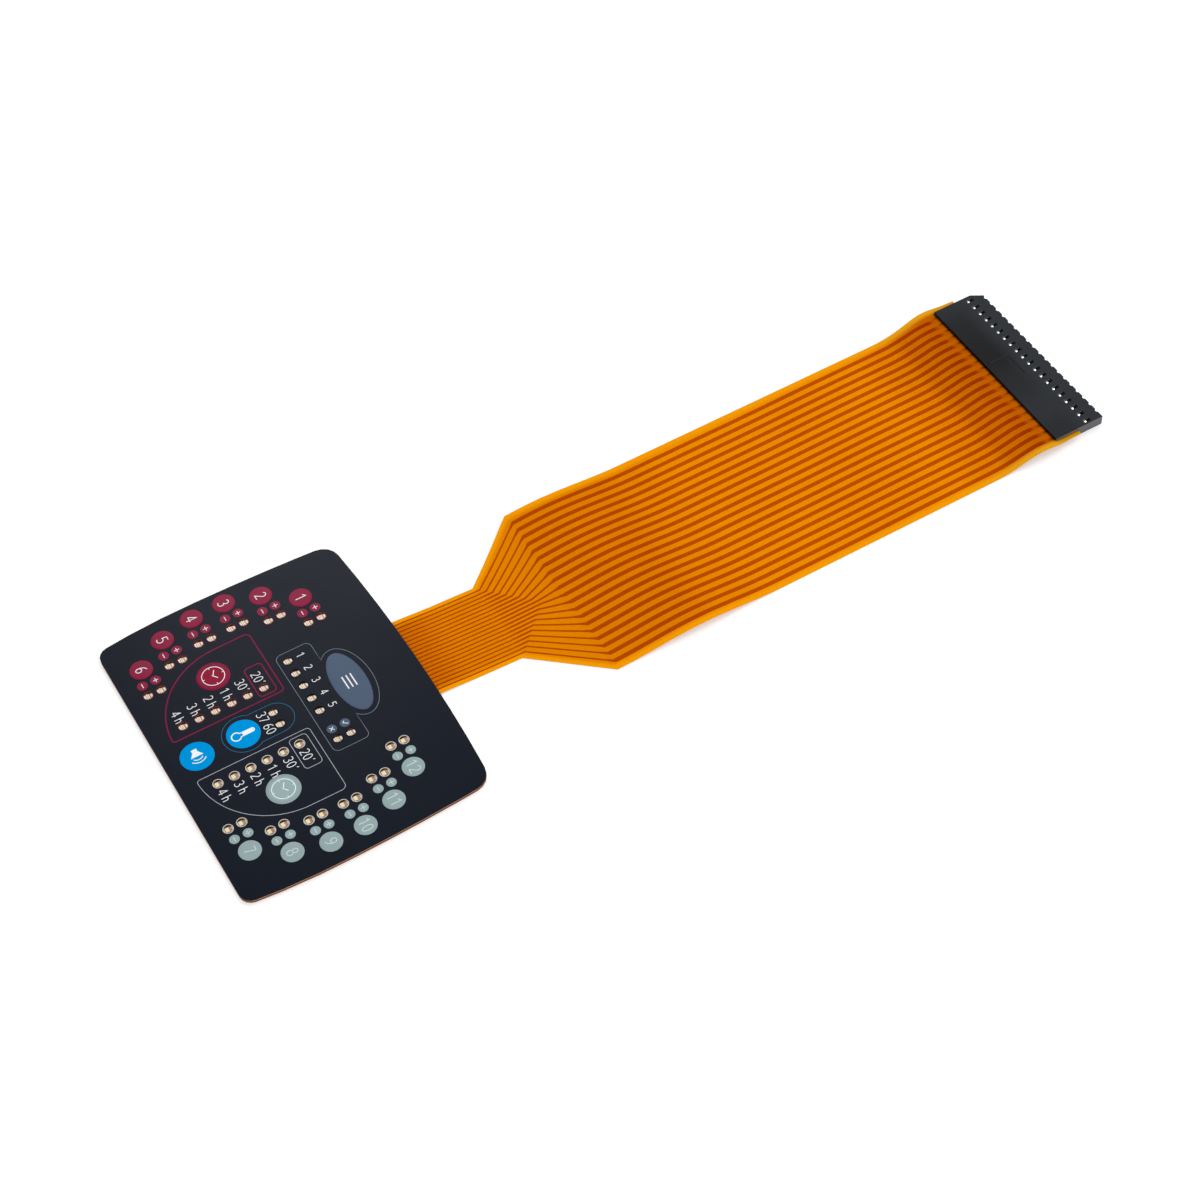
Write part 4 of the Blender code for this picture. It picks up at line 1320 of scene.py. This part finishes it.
class KEYPAD_OT_printed_film(bpy.types.Operator):
    """Model the amber film with its tail, its fan-out and its conductors"""
    bl_idname = "keypad.printed_film"
    bl_label = "Printed film"

    def execute(self, context):
        settings = context.scene.keypad_film
        stations = tail_stations(settings)
        last = len(stations) - 1
        bpy.ops.object.select_all(action="DESELECT")
        bpy.ops.mesh.primitive_grid_add(x_subdivisions=TAIL_COLUMNS, y_subdivisions=last, size=1.0)
        tail = bpy.context.active_object
        edge_map = tail.data.uv_layers[0]
        edge_map.name = "edge_map"
        edge_distance = []
        for corner in tail.data.vertices:
            y = stations[min(round((corner.co.y + 0.5) * last), last)]
            left, right = tail_edges(settings, y)
            x = left + (right - left) * (corner.co.x + 0.5)
            edge_distance.append((min(x - left, right - x) / EDGE_MAP_REACH,
                                  (y - TAIL_START) / (TAIL_END - TAIL_START)))
            corner.co = (x * MM, y * MM, film_level(x, y) * MM)
        for loop in tail.data.loops:
            edge_map.data[loop.index].uv = edge_distance[loop.vertex_index]
        wall = tail.modifiers.new("film_wall", "SOLIDIFY")
        wall.thickness = settings.thickness * MM
        wall.offset = 1.0
        apply_modifiers(tail)
        shade_by_angle(tail, degrees=30)
        finish_piece(tail, "film_tail", "film")

        tracks = []
        for from_middle in CONTACT_STEPS:
            bends = [settings.fan_start + track_bend(from_middle), settings.fan_end + BEND_OVERRUN]
            rows = []
            for y in sorted(set(stations + bends)):
                centre, half = track_place(settings, from_middle, y)
                level = film_level(centre, y) + settings.thickness - TRACK_SINK
                rows.append((centre - half, centre + half, y, level))
            tracks.append(ribbon_mesh(rows, TRACK_HEIGHT))
        finish_piece(join_pieces(tracks), "conductors", "track")

        panel_film = copy_node("rear_adhesive", merge=0.01)
        lift = FILM_TOP - PANEL_FILM_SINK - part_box("rear_adhesive")[1].z / MM
        move_mesh(panel_film, 0.0, 0.0, lift)
        finish_piece(panel_film, "film_in_panel", "shaded_inner_film")
        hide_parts("flex_circuit")
        return {"FINISHED"}


WINDOW_ROW_Y = 202.1
# Tin tops of the contacts in the windows: real contacts, sized and placed so that their near-white tin
# shows a painted glint
TIN_DEPTH = 0.36
TIN_RADIUS = 0.41
TIN_HEIGHT = 0.3
TIN_X = -0.12
TIN_Y = -0.46
END_TRIM = 0.38
EDGE_ROUND = 0.05


class KEYPAD_OT_housing(bpy.types.Operator):
    """Round the edges of the connector's moulded housing, and show the tinned contacts in its windows,
    their tin painted near white as a highlight
    """
    bl_idname = "keypad.housing"
    bl_label = "Connector housing"

    def execute(self, context):
        housing = copy_node("connector_housing", merge=0.005, flat=2)
        set_mode("EDIT")
        shape = bmesh.from_edit_mesh(housing.data)
        for vert in shape.verts:
            vert.select_set(vert.co.x > (HOUSING_HIGH[0] - AT_END) * MM)
        shape.select_flush_mode()
        bmesh.update_edit_mesh(housing.data)
        bpy.ops.transform.translate(value=(-END_TRIM * MM, 0.0, 0.0))
        set_mode("OBJECT")
        bevel_edges(housing, EDGE_ROUND, segments=2, degrees=40)
        shade_by_angle(housing)
        weighted = housing.modifiers.new("flat_faces", "WEIGHTED_NORMAL")
        weighted.keep_sharp = True
        apply_modifiers(housing)
        finish_piece(housing, "housing_shell", "housing")
        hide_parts("connector_housing")

        top = HOUSING_HIGH[2] - TIN_DEPTH
        spot = add_cylinder(TIN_RADIUS, top - TIN_HEIGHT, top, sides=32)
        bevel_edges(spot, EDGE_ROUND)
        shade_by_angle(spot)
        bake_place(spot)
        places = [(CONNECTOR_X + step * PITCH + TIN_X, WINDOW_ROW_Y + TIN_Y) for step in CONTACT_STEPS]
        finish_piece(copy_to(spot, places), "contact_tops", "tin_with_painted_glint")
        return {"FINISHED"}


WHITE = (1.0, 1.0, 1.0)
AIM = (0.0, 0.08, 0.0)
FLOOR_SIZE = 4.0
FLOOR_PLACE = (0.0, 0.08, -0.00005)


def shown_rays(tree):
    """A mask that is 1 for the rays that show a background: camera, glossy and transmission rays."""
    path = add_node(tree, "ShaderNodeLightPath").outputs
    seen = computed(tree, "MAXIMUM", path["Is Camera Ray"], path["Is Glossy Ray"])
    return computed(tree, "MAXIMUM", seen, path["Is Transmission Ray"])


def chosen(tree, lit, seen):
    """Use one shader to light the object and another where the camera looks; returns the result."""
    choice = add_node(tree, "ShaderNodeMixShader", {"Fac": shown_rays(tree), 1: lit, 2: seen})
    return choice.outputs["Shader"]


def surround(world, strength):
    """Light the object evenly, and show a plain white background, whatever the light's strength."""
    world.use_nodes = True
    tree = world.node_tree
    background = tree.nodes["Background"]
    feed(tree, background.inputs, {"Color": WHITE, "Strength": strength})
    white = add_node(tree, "ShaderNodeBackground", {"Color": WHITE, "Strength": 1.0})
    both = chosen(tree, background.outputs["Background"], white.outputs["Background"])
    feed(tree, tree.nodes["World Output"].inputs, {"Surface": both})


def floor_material():
    """A pale matte floor that the camera sees as white, with the object's soft shadow."""
    material = bpy.data.materials.new("pale_floor")
    material.use_nodes = True
    tree = material.node_tree
    shader = tree.nodes["Principled BSDF"]
    feed(tree, shader.inputs, {"Base Color": (0.86,) * 3, "Roughness": 0.9, "Specular IOR Level": 0.1})
    none = add_node(tree, "ShaderNodeEmission", {"Strength": 0.0})
    glow = add_node(tree, "ShaderNodeEmission", {"Strength": 0.35})
    added = chosen(tree, none.outputs["Emission"], glow.outputs["Emission"])
    total = add_node(tree, "ShaderNodeAddShader", {0: shader.outputs["BSDF"], 1: added})
    feed(tree, tree.nodes["Material Output"].inputs, {"Surface": total.outputs["Shader"]})
    return material


class KEYPAD_OT_stage(bpy.types.Operator):
    """Set up the pale floor, the soft light and the camera"""
    bl_idname = "keypad.stage"
    bl_label = "Stage, light and camera"

    def execute(self, context):
        settings = context.scene.keypad_stage
        scene = context.scene
        scene.view_settings.view_transform = "Standard"
        bpy.ops.object.select_all(action="DESELECT")
        bpy.ops.mesh.primitive_plane_add(size=FLOOR_SIZE, location=FLOOR_PLACE)
        floor = context.active_object
        floor.name = "floor"
        floor.data.materials.append(floor_material())

        lights = (
            ("key_light", (-0.15, 0.95, 0.85), 0.7, settings.key_power),
            ("side_light", (1.05, -0.1, 0.40), 0.6, settings.key_power * 0.9),
            ("soft_light", (-0.95, 0.30, 0.90), 0.5, settings.key_power * 0.95),
            ("sheen_light", (-0.30, 0.095, 0.27), 0.1, settings.sheen_power),
        )
        for name, place, size, power in lights:
            lamp = bpy.data.lights.new(name, "AREA")
            lamp.shape = "SQUARE"
            lamp.size = size
            lamp.energy = power
            holder = add_object(name, lamp)
            holder.location = place
            holder.rotation_euler = (Vector(AIM) - Vector(place)).to_track_quat("-Z", "Y").to_euler()
            holder.visible_diffuse = name != "sheen_light"
            holder.visible_camera = False

        scene.world = bpy.data.worlds.new("surroundings")
        surround(scene.world, settings.world_strength)

        view = bpy.data.cameras.new("camera")
        view.lens = settings.lens
        view.sensor_width = 36.0
        view.shift_y = settings.shift
        view.clip_start = 0.01
        view.clip_end = 20.0
        scene.camera = add_object("camera", view)
        scene.camera.location = settings.camera_place
        scene.camera.rotation_euler = settings.camera_angles
        return {"FINISHED"}


class KEYPAD_PT_panel(bpy.types.Panel):
    """Lists the steps that dress the keypad"""
    bl_label = "Membrane keypad"
    bl_idname = "KEYPAD_PT_panel"
    bl_space_type = "VIEW_3D"
    bl_region_type = "UI"
    bl_category = "Keypad"

    def draw(self, context):
        for step in STEPS:
            self.layout.operator(step.bl_idname)


SETTINGS = {
    "keypad_print": KeypadPrintSettings,
    "keypad_lamps": KeypadLampSettings,
    "keypad_film": KeypadFilmSettings,
    "keypad_stage": KeypadStageSettings,
}
STEPS = (
    KEYPAD_OT_cad_finishes,
    KEYPAD_OT_printed_film,
    KEYPAD_OT_lamps,
    KEYPAD_OT_key_faces,
    KEYPAD_OT_small_fields,
    KEYPAD_OT_outlines,
    KEYPAD_OT_figures,
    KEYPAD_OT_icons,
    KEYPAD_OT_housing,
    KEYPAD_OT_stage,
)


def register():
    """Register the settings, the steps and the panel."""
    for name, kind in SETTINGS.items():
        bpy.utils.register_class(kind)
        setattr(bpy.types.Scene, name, bpy.props.PointerProperty(type=kind))
    for kind in (*STEPS, KEYPAD_PT_panel):
        bpy.utils.register_class(kind)


def unregister():
    """Take the add-on out again."""
    for kind in reversed((*STEPS, KEYPAD_PT_panel)):
        bpy.utils.unregister_class(kind)
    for name, kind in SETTINGS.items():
        delattr(bpy.types.Scene, name)
        bpy.utils.unregister_class(kind)


def main():
    """Register the add-on and take every step."""
    register()
    for step in STEPS:
        group, name = step.bl_idname.split(".")
        getattr(getattr(bpy.ops, group), name)()


if __name__ == "__main__":
    main()
